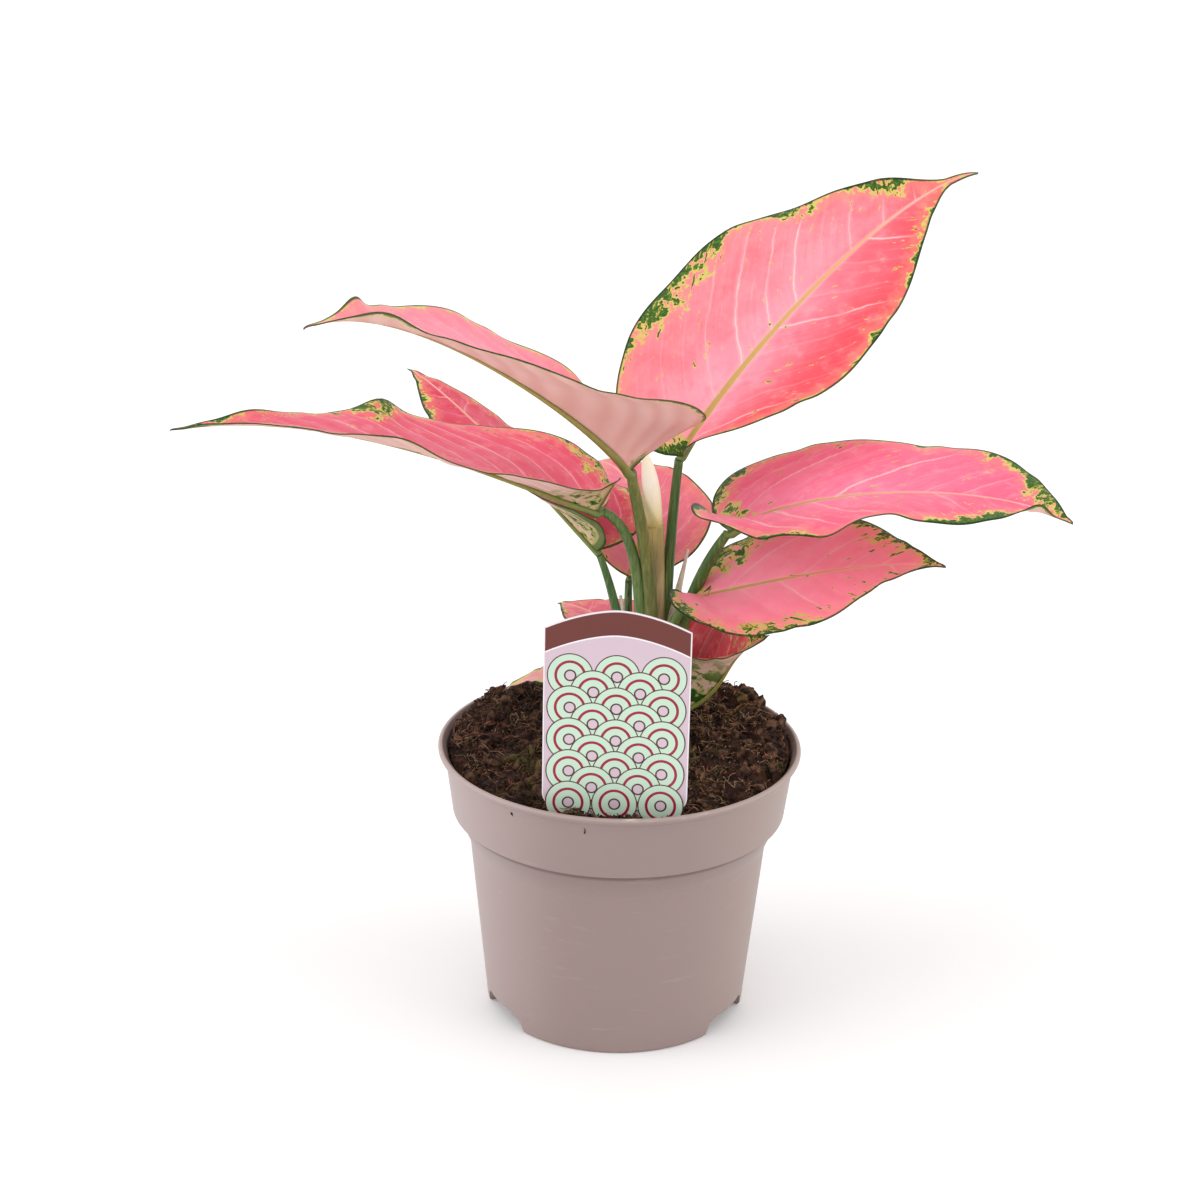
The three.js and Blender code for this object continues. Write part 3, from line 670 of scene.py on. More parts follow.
blades = {
    "blade_upper_right": {
        "path": [(18, 8, 190), (35, 26, 217), (86, 62, 266), (117, 80, 268)], "left": 40, "right": 34,
        "widest": 0.38, "tipPower": 2, "tipFall": 1.5, "tail": 0.1, "roll": (24, 24, 24),
        "liftLeft": (12, 2, 2), "liftRight": (43, 7, 14), "cupRight": 38, "lobeLeft": 17,
        "crestLeft": [(-2, 0.62, 0.05), (5, 0.8, 0.08)],
        "waveLeft": (1.6, 4.5, 0.1), "waveRight": (1.8, 3.6, 0.55), "keel": 1.45,
    },
    "blade_upper_left": {
        "path": [(1.5, -12, 191.5), (-6, -35, 212), (-66, -75, 269), (-91, -95.8, 259.5)], "left": 38,
        "right": 30, "widest": 0.44, "tail": 0.06, "liftLeft": (78, 9, 26), "liftRight": (57, 22, 8),
        "lobeLeft": 28, "lobeRight": 19, "crestLeft": [(3.4, 0.84, 0.05)], "crestRight": [(4, 0.83, 0.04)],
        "waveLeft": (0.8, 3.5, 0.1), "waveRight": (1, 3.5, 0.3), "keel": 1.6,
    },
    "blade_left": {
        "path": [(-8, -6, 176), (-27, -14, 185), (-90, -28, 218.5), (-139, -36, 210)],
        "left": 37, "right": 37, "tail": 0.05, "roll": (0, 0, -8), "liftLeft": (26, 14, 34), "cupLeft": 50,
        "liftRight": (48, 2, 0), "cupRight": -40, "lobeLeft": 0, "lobeRight": 28,
        "crestLeft": [(2.4, 0.59, 0.06)], "crestRight": [(4.8, 0.585, 0.045), (3, 0.86, 0.06)],
        "waveLeft": (1, 3.5, 0.1), "waveRight": (1, 3.2, 0.4), "keel": 1.5,
    },
    "blade_back_left": {
        "path": [(-8, 1, 160), (-27, 18, 174), (-57, 46, 198), (-74, 66, 200.5)], "left": 27, "right": 34,
        "widest": 0.38, "tipPower": 1.6, "liftLeft": (73, 13, 12), "liftRight": (32, -18, -2),
        "lobeLeft": 12, "lobeRight": 14,
        "waveLeft": (1.2, 3.5, 0.1), "waveRight": (1.2, 3.5, 0.5), "keel": 1.2,
    },
    "blade_back": {
        "path": [(2, 14, 146), (11, 34, 159), (2, 60, 173), (-12, 85, 162)], "left": 19, "right": 25,
        "widest": 0.36, "tipPower": 1.55, "liftLeft": (25, 10, 5), "liftRight": (20, 10, 5),
        "lobeLeft": 2, "lobeRight": 6, "waveLeft": (0.8, 3, 0.1), "waveRight": (0.8, 3, 0.4), "keel": 1.2,
    },
    "blade_right": {
        "path": [(33.5, -8, 170.6), (54, -18, 189.5), (111, -35, 199.5), (136, -45, 188)],
        "left": 36, "right": 33, "widest": 0.34, "tipPower": 2.8, "tipFall": 1.2, "tail": 0.03,
        "roll": (5, 5, 5), "liftLeft": (30, 5, 18), "liftRight": (-7, 8, 12), "cupRight": 110,
        "lobeLeft": 27, "lobeRight": 12,
        "crestRight": [(6, 0.17, 0.07), (-4.8, 0.415, 0.06), (1.5, 0.55, 0.04), (-3.2, 0.73, 0.09),
                       (5, 0.9, 0.04)],
        "waveLeft": (1, 3, 0.1), "waveRight": (1.5, 2.2, 0.31), "keel": 1.55,
    },
    "blade_lower_right": {
        "path": [(23, -5, 146), (41, -15, 155), (78, -28, 170.5), (99, -40, 171.5)],
        "left": 28, "right": 27, "widest": 0.46, "tail": 0.03, "roll": (20, 20, 10),
        "liftLeft": (19, 2, 9), "liftRight": (36, -3, 20), "cupRight": 45, "lobeLeft": 5, "lobeRight": 14,
        "waveLeft": (1, 3.5, 0.1), "waveRight": (1, 3.5, 0.5), "keel": 1.35,
    },
    "blade_low_right": {
        "path": [(18, 6, 101.5), (38, 1, 112), (30, -16, 131), (47, -18, 139)], "left": 32, "right": 19,
        "widest": 0.4, "roll": (20, 15, 5), "liftLeft": (60, 55, 20), "liftRight": (74, 44, -20),
        "lobeLeft": 11, "waveLeft": (0.8, 3, 0.1), "waveRight": (0.6, 3, 0.5), "keel": 1.15,
    },
    "blade_low_left": {
        "path": [(6, 16, 117), (0, 28, 123), (-12, 44, 124), (-22, 56, 120)], "left": 15, "right": 16,
        "widest": 0.42, "liftLeft": (20, 10, 10), "liftRight": (20, 10, 10), "lobeLeft": 5, "lobeRight": 5,
        "waveLeft": (0.5, 3, 0.1), "waveRight": (0.5, 3, 0.5), "keel": 1.1,
    },
    "blade_low_back": {
        "path": [(-6, 18, 100.5), (-14, 24, 107), (-30, 28, 107), (-40, 29, 97.5)], "left": 9, "right": 9,
        "widest": 0.42, "liftLeft": (20, 10, 10), "liftRight": (20, 10, 10), "lobeLeft": 3, "lobeRight": 3,
        "waveLeft": (0.4, 3, 0.1), "waveRight": (0.4, 3, 0.5), "keel": 0.85,
    },
}

# How each leaf is coloured: the pinks left and right of the midrib, a deep one and the tint beside the
# midrib, how many flecks it has, how wide its midrib and how strong its side veins are, how deep it is
# quilted, how far from its base it is mottled below, and the green bands of its margins, each a width, a
# place and a spread
leafLooks = {
    "blade_upper_right": {
        "left": "#ee858f", "right": "#e84f5b", "deep": "#dd3f4e", "inner": "#f1b5ca",
        "flecks": 0.3, "rib": 1.7, "veins": 1, "quilt": 0.16, "mottle": 0.1,
        "bandLeft": [(12, 0, 0.06), (5.8, 0.31, 0.07), (4, 0.43, 0.05), (4, 0.6, 0.03), (2.4, 0.76, 0.05)],
        "bandRight": [(2.5, 0.46, 0.02), (1.7, 0.7, 0.1)],
    },
    "blade_upper_left": {
        "left": "#e98d9b", "right": "#e77c8f", "deep": "#db637b", "inner": "#eca9ba",
        "flecks": 0.1, "rib": 1.2, "veins": 0.8, "quilt": 0.2, "mottle": 0.06,
        "bandLeft": [(3, 0.03, 0.06), (2.5, 0.66, 0.06)], "bandRight": [(0.5, 0.5, 0.2)],
    },
    "blade_left": {
        "left": "#e34f69", "right": "#e2506a", "deep": "#d53f59", "inner": "#ee7d96",
        "flecks": 0.6, "rib": 1.1, "veins": 0.7, "quilt": 0.2, "mottle": 0.28,
        "bandLeft": [(4, 0.95, 0.05), (1, 0.75, 0.1)],
        "bandRight": [(5, 0.13, 0.07), (6, 0.585, 0.04), (4, 0.95, 0.05)],
    },
    "blade_back_left": {
        "left": "#d0304f", "right": "#d0304f", "deep": "#c52742", "inner": "#e2647f",
        "flecks": 0.2, "rib": 0.9, "veins": 0.6, "quilt": 0.16, "mottle": 0.35,
        "bandLeft": [(1.2, 0.7, 0.2)], "bandRight": [(3, 0.15, 0.1)],
    },
    "blade_back": {
        "left": "#e97187", "right": "#e4687d", "deep": "#d9536c", "inner": "#eb91a2",
        "flecks": 0.15, "rib": 0.9, "veins": 0.5, "quilt": 0.16, "mottle": 0.1,
        "bandLeft": [(0.5, 0.7, 0.2)], "bandRight": [(0.3, 0.4, 0.1)],
    },
    "blade_right": {
        "left": "#f26687", "right": "#f15d7c", "deep": "#e54c6a", "inner": "#f689ab",
        "flecks": 0.35, "rib": 1.05, "veins": 0.9, "quilt": 0.16, "mottle": 0.2,
        "bandLeft": [(5, 0.1, 0.07), (2, 0.55, 0.03), (3.4, 0.7, 0.04), (5.5, 0.87, 0.08)],
        "bandRight": [(9, 0, 0.045), (1.2, 0.28, 0.12), (3, 0.75, 0.1)],
    },
    "blade_lower_right": {
        "left": "#ff88a3", "right": "#ff869e", "deep": "#f86c88", "inner": "#ff9cb8",
        "flecks": 0.75, "rib": 1.05, "veins": 0.7, "quilt": 0.18, "mottle": 0.15,
        "bandLeft": [(7.5, 0.2, 0.12), (2.5, 0.7, 0.12), (4.5, 0.95, 0.05)],
        "bandRight": [(2.4, 0.14, 0.08), (3.5, 0.42, 0.12), (3, 0.95, 0.04)],
    },
    "blade_low_right": {
        "left": "#cf3040", "right": "#cf3040", "deep": "#c22535", "inner": "#d95661",
        "flecks": 0.8, "rib": 0.9, "veins": 0.3, "quilt": 0.14, "mottle": 0.8,
        "bandLeft": [(5, 0.55, 0.15), (3, 0.9, 0.1)], "bandRight": [(2, 0.3, 0.2)],
    },
    "blade_low_left": {
        "left": "#d8566e", "right": "#d8566e", "deep": "#cd445e", "inner": "#e2869a",
        "flecks": 0.3, "rib": 0.8, "veins": 0.5, "quilt": 0.12, "mottle": 0.2,
        "bandLeft": [(1.5, 0.8, 0.1)], "bandRight": [(1, 0.3, 0.2)],
    },
    "blade_low_back": {
        "left": "#d79aa0", "right": "#d38f97", "deep": "#c77a85", "inner": "#e2b8b4",
        "flecks": 0.2, "rib": 0.6, "veins": 0.3, "quilt": 0.08, "mottle": 0.5,
        "bandLeft": [(0.8, 0.5, 0.3)], "bandRight": [(0.8, 0.5, 0.3)],
    },
}

# Rows and half the columns of points on a long blade and on a short one
leafMesh = {"long": (116, 30), "short": (72, 20), "longFrom": 90, "halfThickness": 0.27, "veinSpacing": 12.5}


def outlineAt(blade, s):
    widest = blade.get("widest", 0.4)
    tail = blade.get("tail", 0)
    rising = np.sqrt(np.clip(1 - ((widest - s) / widest) ** 2, 0, 1))
    reach = np.clip((s - widest) / (1 - tail - widest), 0, 1)
    falling = (1 - reach ** blade.get("tipPower", 1.9)) ** blade.get("tipFall", 1.45)
    if tail:
        falling = falling + 0.045 * np.sqrt((1 - s) / tail) * reach ** 6
    return np.where(s < widest, rising, falling)


# The bumps of a margin, each a height, place and spread
def crestAt(crests, s):
    return sum((height * np.exp(-((s - place) / spread) ** 2) for height, place, spread in crests), 0 * s)


# The midrib's points, and its directions forwards, to the right and upwards
def midribFrame(blade, s):
    tangent = bezierSlope(blade["path"], s)
    level = unit(np.cross(tangent, (0, 0, 1)))
    upright = np.cross(level, tangent)
    roll = np.radians(along(blade.get("roll", (0, 0, 0)), s))[..., None]
    side = np.cos(roll) * level - np.sin(roll) * upright
    up = np.sin(roll) * level + np.cos(roll) * upright
    return bezier(blade["path"], s), tangent, side, up


# The middle surface of a blade, s from base to tip and t from the left margin over the midrib to the right.
# Also gives each point's place on the blade laid flat.
def bladeSurface(blade, s, t):
    centre, tangent, side, up = midribFrame(blade, s)
    isLeft = t < 0

    def pick(key, otherwise=0):
        return blade.get(key + "Left", otherwise), blade.get(key + "Right", otherwise)

    liftLeft, liftRight = pick("lift", (0, 0, 0))
    lift = np.where(isLeft, along(liftLeft, s), along(liftRight, s))
    angle = np.radians(lift + np.where(isLeft, *pick("cup")) * (1 - s) ** 12)
    shape = outlineAt(blade, s)
    reach = np.where(isLeft, blade["left"], blade["right"]) * shape * np.abs(t)
    waves = [height * np.sin(2 * math.pi * (count * s + phase)) for height, count, phase in pick("wave")]
    crests = [crestAt(bumps, s) for bumps in pick("crest", ())]
    swing = np.where(isLeft, *waves) * shape + np.where(isLeft, *crests) * np.minimum(1, 3 * shape)
    wave = swing * np.abs(t) ** 2.5
    swept = np.where(isLeft, *pick("lobe")) * shape * (1 - s) ** 3 * (1 - np.cos(t * math.pi)) / 2
    outward = np.where(isLeft, -1, 1) * reach
    points = centre + side * (outward * np.cos(angle))[..., None]
    points = points + up * (reach * np.sin(angle) + wave)[..., None] - tangent * swept[..., None]
    length = pathLength(blade["path"])
    return points, outward, s * length - swept


def pathLength(path):
    points = bezier(path, np.linspace(0, 1, 80))
    return float(np.linalg.norm(np.diff(points, axis=0), axis=1).sum())


# How far each flat place lies inside the blade's outline
def marginDistance(blade, x, y):
    s = np.concatenate([np.linspace(0, 0.1, 60), np.linspace(0.1, 1, 160)[1:]])
    places = np.stack([x.ravel(), y.ravel()], 1)
    nearest = np.full(len(places), 1e9)
    for side in (-1.0, 1.0):
        _, rimX, rimY = bladeSurface(blade, s, np.full_like(s, side))
        rim = np.stack([rimX, rimY], 1)
        for a, b in zip(rim[:-1], rim[1:]):
            step = b - a
            share = np.clip((places - a) @ step / max(step @ step, 1e-9), 0, 1)
            nearest = np.minimum(nearest, np.linalg.norm(places - a - share[:, None] * step, axis=1))
    return nearest.reshape(x.shape)


# Side veins leave the midrib and curve towards the tip; whole numbers of this count lie half way between two
def veinCount(blade, x, y):
    reach = np.abs(x)
    widest = max(blade["left"], blade["right"])
    start = y - 0.72 * reach - 0.5 * reach ** 2 / widest
    bend = 1.4 * np.sin(start * 0.11 + np.sign(x) * 1.3)
    return (start + bend) / leafMesh["veinSpacing"] + np.where(x < 0, 0.35, 0.0) + 20


# How wide the green of the margin is at each place
def bandWidth(look, s, x):
    left, right = (crestAt(look[key], s) for key in ("bandLeft", "bandRight"))
    return np.where(x < 0, left, right)


# Quilted between the side veins, grooved over the midrib, a little uneven, with a crimped margin
def bladeRelief(look, s, x, count, margin, seed):
    inside = smooth(0, 7, margin) * smooth(0, 3, np.abs(x))
    fold = count % 1 - 0.5
    quilt = -look["quilt"] * (np.cos(2 * math.pi * fold) + 1.1 * np.exp(-(fold / 0.07) ** 2)) * inside
    groove = -0.25 * np.exp(-(x / 1.3) ** 2) * (1 - s) ** 0.6
    uneven = 0.35 * np.sin(x * 0.16 + seed) * np.sin(s * 17 + seed * 2) * smooth(0, 12, np.abs(x))
    ripple = 0.22 * np.sin(s * 47 + seed * 3 + 1.7 * np.sin(s * 23 + seed)) * smooth(6, 0, margin)
    return quilt + groove + uneven * inside + ripple


# Places along and across a blade, denser at its ends, by its midrib and by its margins
def bladeGrid(blade):
    rows, half = leafMesh["long" if pathLength(blade["path"]) > leafMesh["longFrom"] else "short"]
    even = np.arange(1, rows) / rows
    rowPlaces = 0.62 * (0.5 - 0.5 * np.cos(math.pi * even)) + 0.38 * even
    even = np.arange(0, half + 1) / half
    columnPlaces = 0.55 * even ** 1.7 + 0.45 * (1 - (1 - even) ** 1.25)
    columnPlaces = np.concatenate([-columnPlaces[:0:-1], columnPlaces])
    return np.meshgrid(rowPlaces, columnPlaces, indexing="ij")


# The faces above, below and round the rim. The last two points of each side are the blade's base and tip.
def bladeFaces(rows, columns):
    base, tip, under = rows * columns, rows * columns + 1, rows * columns + 2
    last = (rows - 1) * columns
    above = bridge(rows, columns, False)
    above += [(base, k + 1, k) for k in range(columns - 1)]
    above += [(tip, last + k, last + k + 1) for k in range(columns - 1)]
    below = [tuple(under + v for v in reversed(f)) for f in above]
    rim = [base, *range(0, last + 1, columns), tip, *range(last + columns - 1, 0, -columns)]
    edge = [(a, b, under + b, under + a) for a, b in zip(rim, rim[1:] + rim[:1])]
    return above, below, edge


def makeBlade(name, blade, seed):
    look = leafLooks[name]
    s, t = bladeGrid(blade)
    middle, x, y = bladeSurface(blade, s, t)
    margin = marginDistance(blade, x, y)
    count = veinCount(blade, x, y)
    normal = unit(np.cross(np.gradient(middle, axis=1), np.gradient(middle, axis=0)))
    middle = middle + normal * bladeRelief(look, s, x, count, margin, seed)[..., None]
    depth = (leafMesh["halfThickness"] - 0.1 * smooth(3, 0, margin))[..., None]
    rows, columns = s.shape
    ends = bezier(blade["path"], np.array([0.0, 1.0]))
    endNormals = normal[[0, -1], columns // 2]
    upper = np.concatenate([(middle + normal * depth).reshape(-1, 3), ends + endNormals * 0.2])
    lower = np.concatenate([(middle - normal * depth).reshape(-1, 3), ends - endNormals * 0.2])
    # What the materials read, at each point and at the base and tip
    length = pathLength(blade["path"])
    flat = np.stack([x, y, margin], -1).reshape(-1, 3)
    bothSides = {
        "flat": np.concatenate([flat, [(0, 0, 0.5), (0, length, 0)]]),
        "band": [*bandWidth(look, s, x).ravel(), 0, 0],
        "share": [*s.ravel(), 0, 1],
        "veins": [*count.ravel(), 20, 20 + length / leafMesh["veinSpacing"]],
    }
    attributes = {key: np.concatenate([values, values]) for key, values in bothSides.items()}
    above, below, edge = bladeFaces(rows, columns)
    slots = [0] * len(above) + [1] * len(below) + [0] * len(edge)
    pieceName = "leaf" + "".join(word.title() for word in name.split("_")[1:])
    materials = [leafUpper(pieceName, look, seed), leafUnder(pieceName, look, seed)]
    piece = newPiece(pieceName, np.concatenate([upper, lower]), above + below + edge, materials,
                     attributes, slots)
    addKeel(piece, blade, name)
    dress(piece, "variegated_leaf", name)
    print(pieceName, len(piece.data.polygons))


# The midrib stands proud below the blade and runs out of the stalk
def addKeel(piece, blade, name):
    steps, sides = 70, 12
    s = np.linspace(0, 0.97, steps) ** 1.15
    centre, _, side, up = midribFrame(blade, s)
    radius = blade["keel"] * (1 - s) ** 1.5 * 0.95 + 0.15
    sink = radius * 0.8 + 0.15
    stalkEnd = np.array(stalks[stalkOf[name]]["path"][3], float)
    points, places = [], []
    rings = [(stalkEnd, side[0], up[0], blade["keel"] * 1.03, 0.0, 1.0)]
    rings += [(c - u * k, sd, u, r, v, 0.8) for c, u, k, sd, r, v in zip(centre, up, sink, side, radius, s)]
    for middle, sd, u, r, v, flatness in rings:
        for k in range(sides):
            turn = 2 * math.pi * k / sides
            points.append(middle + sd * r * math.cos(turn) + u * r * flatness * math.sin(turn))
            places.append(v)
    faces = [tuple(reversed(f)) for f in bridge(len(rings), sides)]
    faces.append(tuple(range(sides)))
    faces.append(tuple(reversed(range((len(rings) - 1) * sides, len(rings) * sides))))
    nothing = np.zeros(len(points))
    attributes = {"share": places, "flat": np.zeros((len(points), 3)), "veins": nothing, "band": nothing}
    keel = newPiece(name + "Keel", points, faces, [keelMaterial()], attributes)
    fixNormals(keel)
    joinPieces(piece, [keel])


def joinPieces(piece, others):
    with bpy.context.temp_override(active_object=piece, object=piece, selected_objects=[piece, *others],
                                   selected_editable_objects=[piece, *others]):
        bpy.ops.object.join()


# One material for the midribs of all leaves
def keelMaterial():
    if "leafKeel" in bpy.data.materials:
        return bpy.data.materials["leafKeel"]
    m = Shader("leafKeel", roughness=0.42, specular=0.4)
    share = m.attribute("share", 2)
    streak = m.grain(m.stretch(m.place(), (500, 500, 60)), 1, 3)
    colour = m.node("ValToRGB", {"stops": [
        (0.0, "#566f34"), (0.15, "#757a38"), (0.45, "#93843f"), (0.85, "#c79a7c"),
    ]}, [share])
    colour = m.mix(streak * 0.35, colour, "#a9a85c")
    return m.finish(colour, None, m.bump(streak, 0.0001))


# The upper side of a leaf, with one method for each layer of its colouring
class LeafTop(Shader):
    def __init__(self, name, look, seed):
        super().__init__(name, roughness=0.42, specular=0.22)
        self.look = look
        self.seed = seed
        flat = self.attribute("flat")
        self.x, self.y, self.margin = self.parts(flat)
        self.reach = self.x.size()
        self.share, self.veins, self.band = (self.attribute(key, 2) for key in ("share", "veins", "band"))
        self.spot = self.stretch(flat, (1, 1, 0), (seed * 41.0, seed * 17.0, seed * 3.0))
        self.broad = self.grain(self.spot, 0.05, 3, 0.5)
        self.patchy = self.grain(self.spot, 0.2, 4, 0.6)
        self.fine = self.grain(self.spot, 1.1, 4, 0.65)
        self.green = self.mix(self.fine.rise(0.45, 0.65), "#184a10", "#4a7d1f")
        # Faint streaks run with the side veins
        self.streak = self.grain(self.vector(self.veins * 5.0, self.reach * 0.11, seed * 1.0), 1.0, 4, 0.6)

    # Pinks, lighter and more lilac beside the midrib
    def pinks(self):
        look, share, broad, patchy = self.look, self.share, self.broad, self.patchy
        byMidrib = self.reach.rise(26, 1) * share.rise(0.9, 0.25) * (0.3 + 0.9 * broad)
        colour = self.mix(self.x.rise(-5, 5), look["left"], look["right"])
        colour = self.mix(byMidrib * 0.75, colour, look["inner"])
        colour = self.mix(broad.rise(0.42, 0.7) * 0.35, colour, look["right"])
        colour = self.mix(share.rise(0.55, 0.95) * 0.8, colour, look["right"])
        colour = self.mix(patchy.rise(0.5, 0.7) * 0.22, colour, "#fbb2b6")
        colour = self.mix(patchy.rise(0.5, 0.32) * 0.2, colour, look["deep"])
        colour = self.mix(self.streak.rise(0.5, 0.75) * 0.13, colour, "#fcc0c4")
        return self.mix(self.streak.rise(0.5, 0.3) * 0.14, colour, look["deep"])

    # Pale side veins, each of its own strength, and finer ones between them
    def sideVeins(self, colour):
        counted = self.veins + (self.grain(self.spot, 0.09, 3) - 0.5) * 0.34
        number = counted.maths("FLOOR") + self.x.rise(-0.1, 0.1) * 31.0 + self.seed * 7.0
        chance = self.node("TexWhiteNoise", {"noise_dimensions": "1D"}, {"W": number})
        broken = self.grain(self.vector(self.veins, self.y * 0.07, self.seed * 2.0), 1.0, 2).rise(0.3, 0.6)
        strength = (0.15 + 0.85 * chance.rise(0.25, 0.75)) * (0.4 + 0.6 * broken)
        strength = strength * self.margin.rise(0.5, 12) * self.look["veins"]
        self.toVein = (counted.fraction() - 0.5).size()
        self.line = self.toVein.rise(0.034, 0.012) * strength
        colour = self.mix(self.toVein.rise(0.12, 0.02) * strength * 0.35, colour, "#fbbcc4")
        colour = self.mix(self.line * 0.8, colour, "#fdcfca")
        between = ((counted + 0.5).fraction() - 0.5).size()
        thin = between.rise(0.022, 0.008) * self.patchy.rise(0.45, 0.62)
        thin = thin * self.margin.rise(2, 12) * chance.rise(0.3, 0.7)
        return self.mix(thin * self.look["veins"] * 0.3, colour, "#fcc6c6")

    # Midrib, olive gold at the base and pale pink towards the tip
    def midrib(self, colour):
        inMidrib = self.reach / ((1.0 - self.share) ** 1.8 * self.look["rib"] + 0.28)
        self.rib = inMidrib.rise(1.05, 0.6)
        ribColour = self.node("ValToRGB", {"stops": [
            (0.0, "#ab9a48"), (0.35, "#c2a352"), (0.6, "#dba670"), (0.85, "#f6b4a8"),
        ]}, [self.share])
        colour = self.mix(inMidrib.rise(2.6, 1.0) * 0.4, colour, "#fab3b4")
        return self.mix(self.rib * 0.92, colour, ribColour)

    # The margin: a warm fringe, cream and yellow green, then dark green where a band is wide
    def bands(self, colour):
        margin, band = self.margin, self.band
        ragged = self.grain(self.spot, 0.2, 2, 0.5) - 0.5
        tiny = self.grain(self.spot, 0.75, 2, 0.5) - 0.5
        mottle = ragged + tiny * 0.55
        fringe = (margin - 1.5 - self.patchy * 4.0 - band * 1.2 - mottle * 6.0).rise(2.0, -1.5)
        colour = self.mix(fringe * 0.3, colour, "#ee9a78")
        yellow = (band * (1.2 + mottle * 6.0) + 0.6 + mottle * 4.6 - margin).rise(-0.3, 0.3)
        colour = self.mix(yellow * 0.9, colour, self.mix(self.fine.rise(0.4, 0.62), "#d9bd68", "#b9c656"))
        green = band * (0.74 + mottle * 5.5) + band.atMost(1) * 0.4 + mottle * 1.2 - 0.1
        return self.mix((green - margin).rise(-0.1, 0.25) * 0.96, colour, self.green)

    # Flecks, drawn out along the veins, green within yellow
    def flecks(self, colour):
        place = self.vector(self.veins * 4.4, self.reach * 0.26, self.seed * 5.0)
        field = self.grain(place, 1.0, 3, 0.6) + self.margin.rise(13, 1) * 0.13 * self.look["flecks"]
        field = field + self.band.rise(0.5, 4.0) * self.margin.rise(16, 4) * 0.06
        field = field + self.toVein.rise(0.1, 0.02) * 0.03
        colour = self.mix(field.rise(0.655, 0.7) * 0.85, colour, "#d8c063")
        return self.mix(field.rise(0.705, 0.73), colour, self.green)


def leafUpper(name, look, seed):
    m = LeafTop(name, look, seed)
    colour = m.flecks(m.bands(m.midrib(m.sideVeins(m.pinks()))))
    # The thin dark rim
    colour = m.mix(m.margin.rise(0.8, 0.4) * 0.9, colour, "#1d2f0f")
    height = m.streak * 0.5 + m.fine * 0.2 - m.line * 0.6 + m.rib * 0.3
    return m.finish(colour, 0.38 + m.patchy * 0.12, m.bump(height, 0.0001))


def leafUnder(name, look, seed):
    m = Shader(name + "Underside", roughness=0.6, specular=0.2)
    flat = m.attribute("flat")
    margin = m.parts(flat)[2]
    share = m.attribute("share", 2)
    veins = m.attribute("veins", 2)
    band = m.attribute("band", 2)
    spot = m.stretch(flat, (1, 1, 0), (seed * 23.0, seed * 9.0, 5.0))
    broad = m.grain(spot, 0.06, 3)
    mottle = m.grain(spot, 0.24, 4, 0.62)
    # Painted light and shade: lighter over each side vein and darker between them, the quilting's shading as
    # soft bands
    fold = (veins.fraction() - 0.5).size()
    colour = m.mix(broad, "#d3a197", "#dcaaa1")
    colour = m.mix(fold.rise(0.5, 0.05) * (0.1 + 0.4 * broad), colour, "#eccac1")
    # Cream and green towards the base
    atBase = share.rise(look["mottle"], look["mottle"] * 0.3)
    blotch = mottle + margin.rise(8, 1) * 0.08 + 0.09 * look["mottle"]
    colour = m.mix(atBase * mottle.rise(0.35, 0.55) * 0.75, colour, "#d3c48a")
    colour = m.mix(atBase * blotch.rise(0.5, 0.56) * 0.9, colour, "#8c9a40")
    colour = m.mix(atBase * blotch.rise(0.56, 0.6), colour, "#2c5215")
    ragged = (mottle - 0.5) * 5.0
    width = 0.8 + band * 0.35 + atBase * 2.0
    colour = m.mix((margin + ragged - width * 1.6).rise(1.2, -0.4) * 0.7, colour, "#cdb97f")
    colour = m.mix((margin + ragged * 0.7 - width).rise(0.5, -0.3) * 0.85, colour, "#4a6530")
    colour = m.mix(margin.rise(0.6, 0.25) * 0.85, colour, "#2f4a1e")
    return m.finish(colour, None, m.bump(mottle, 0.0002))


# Stalks. Each: the four points that steer its centre line, its radii, and its colours from foot to head.

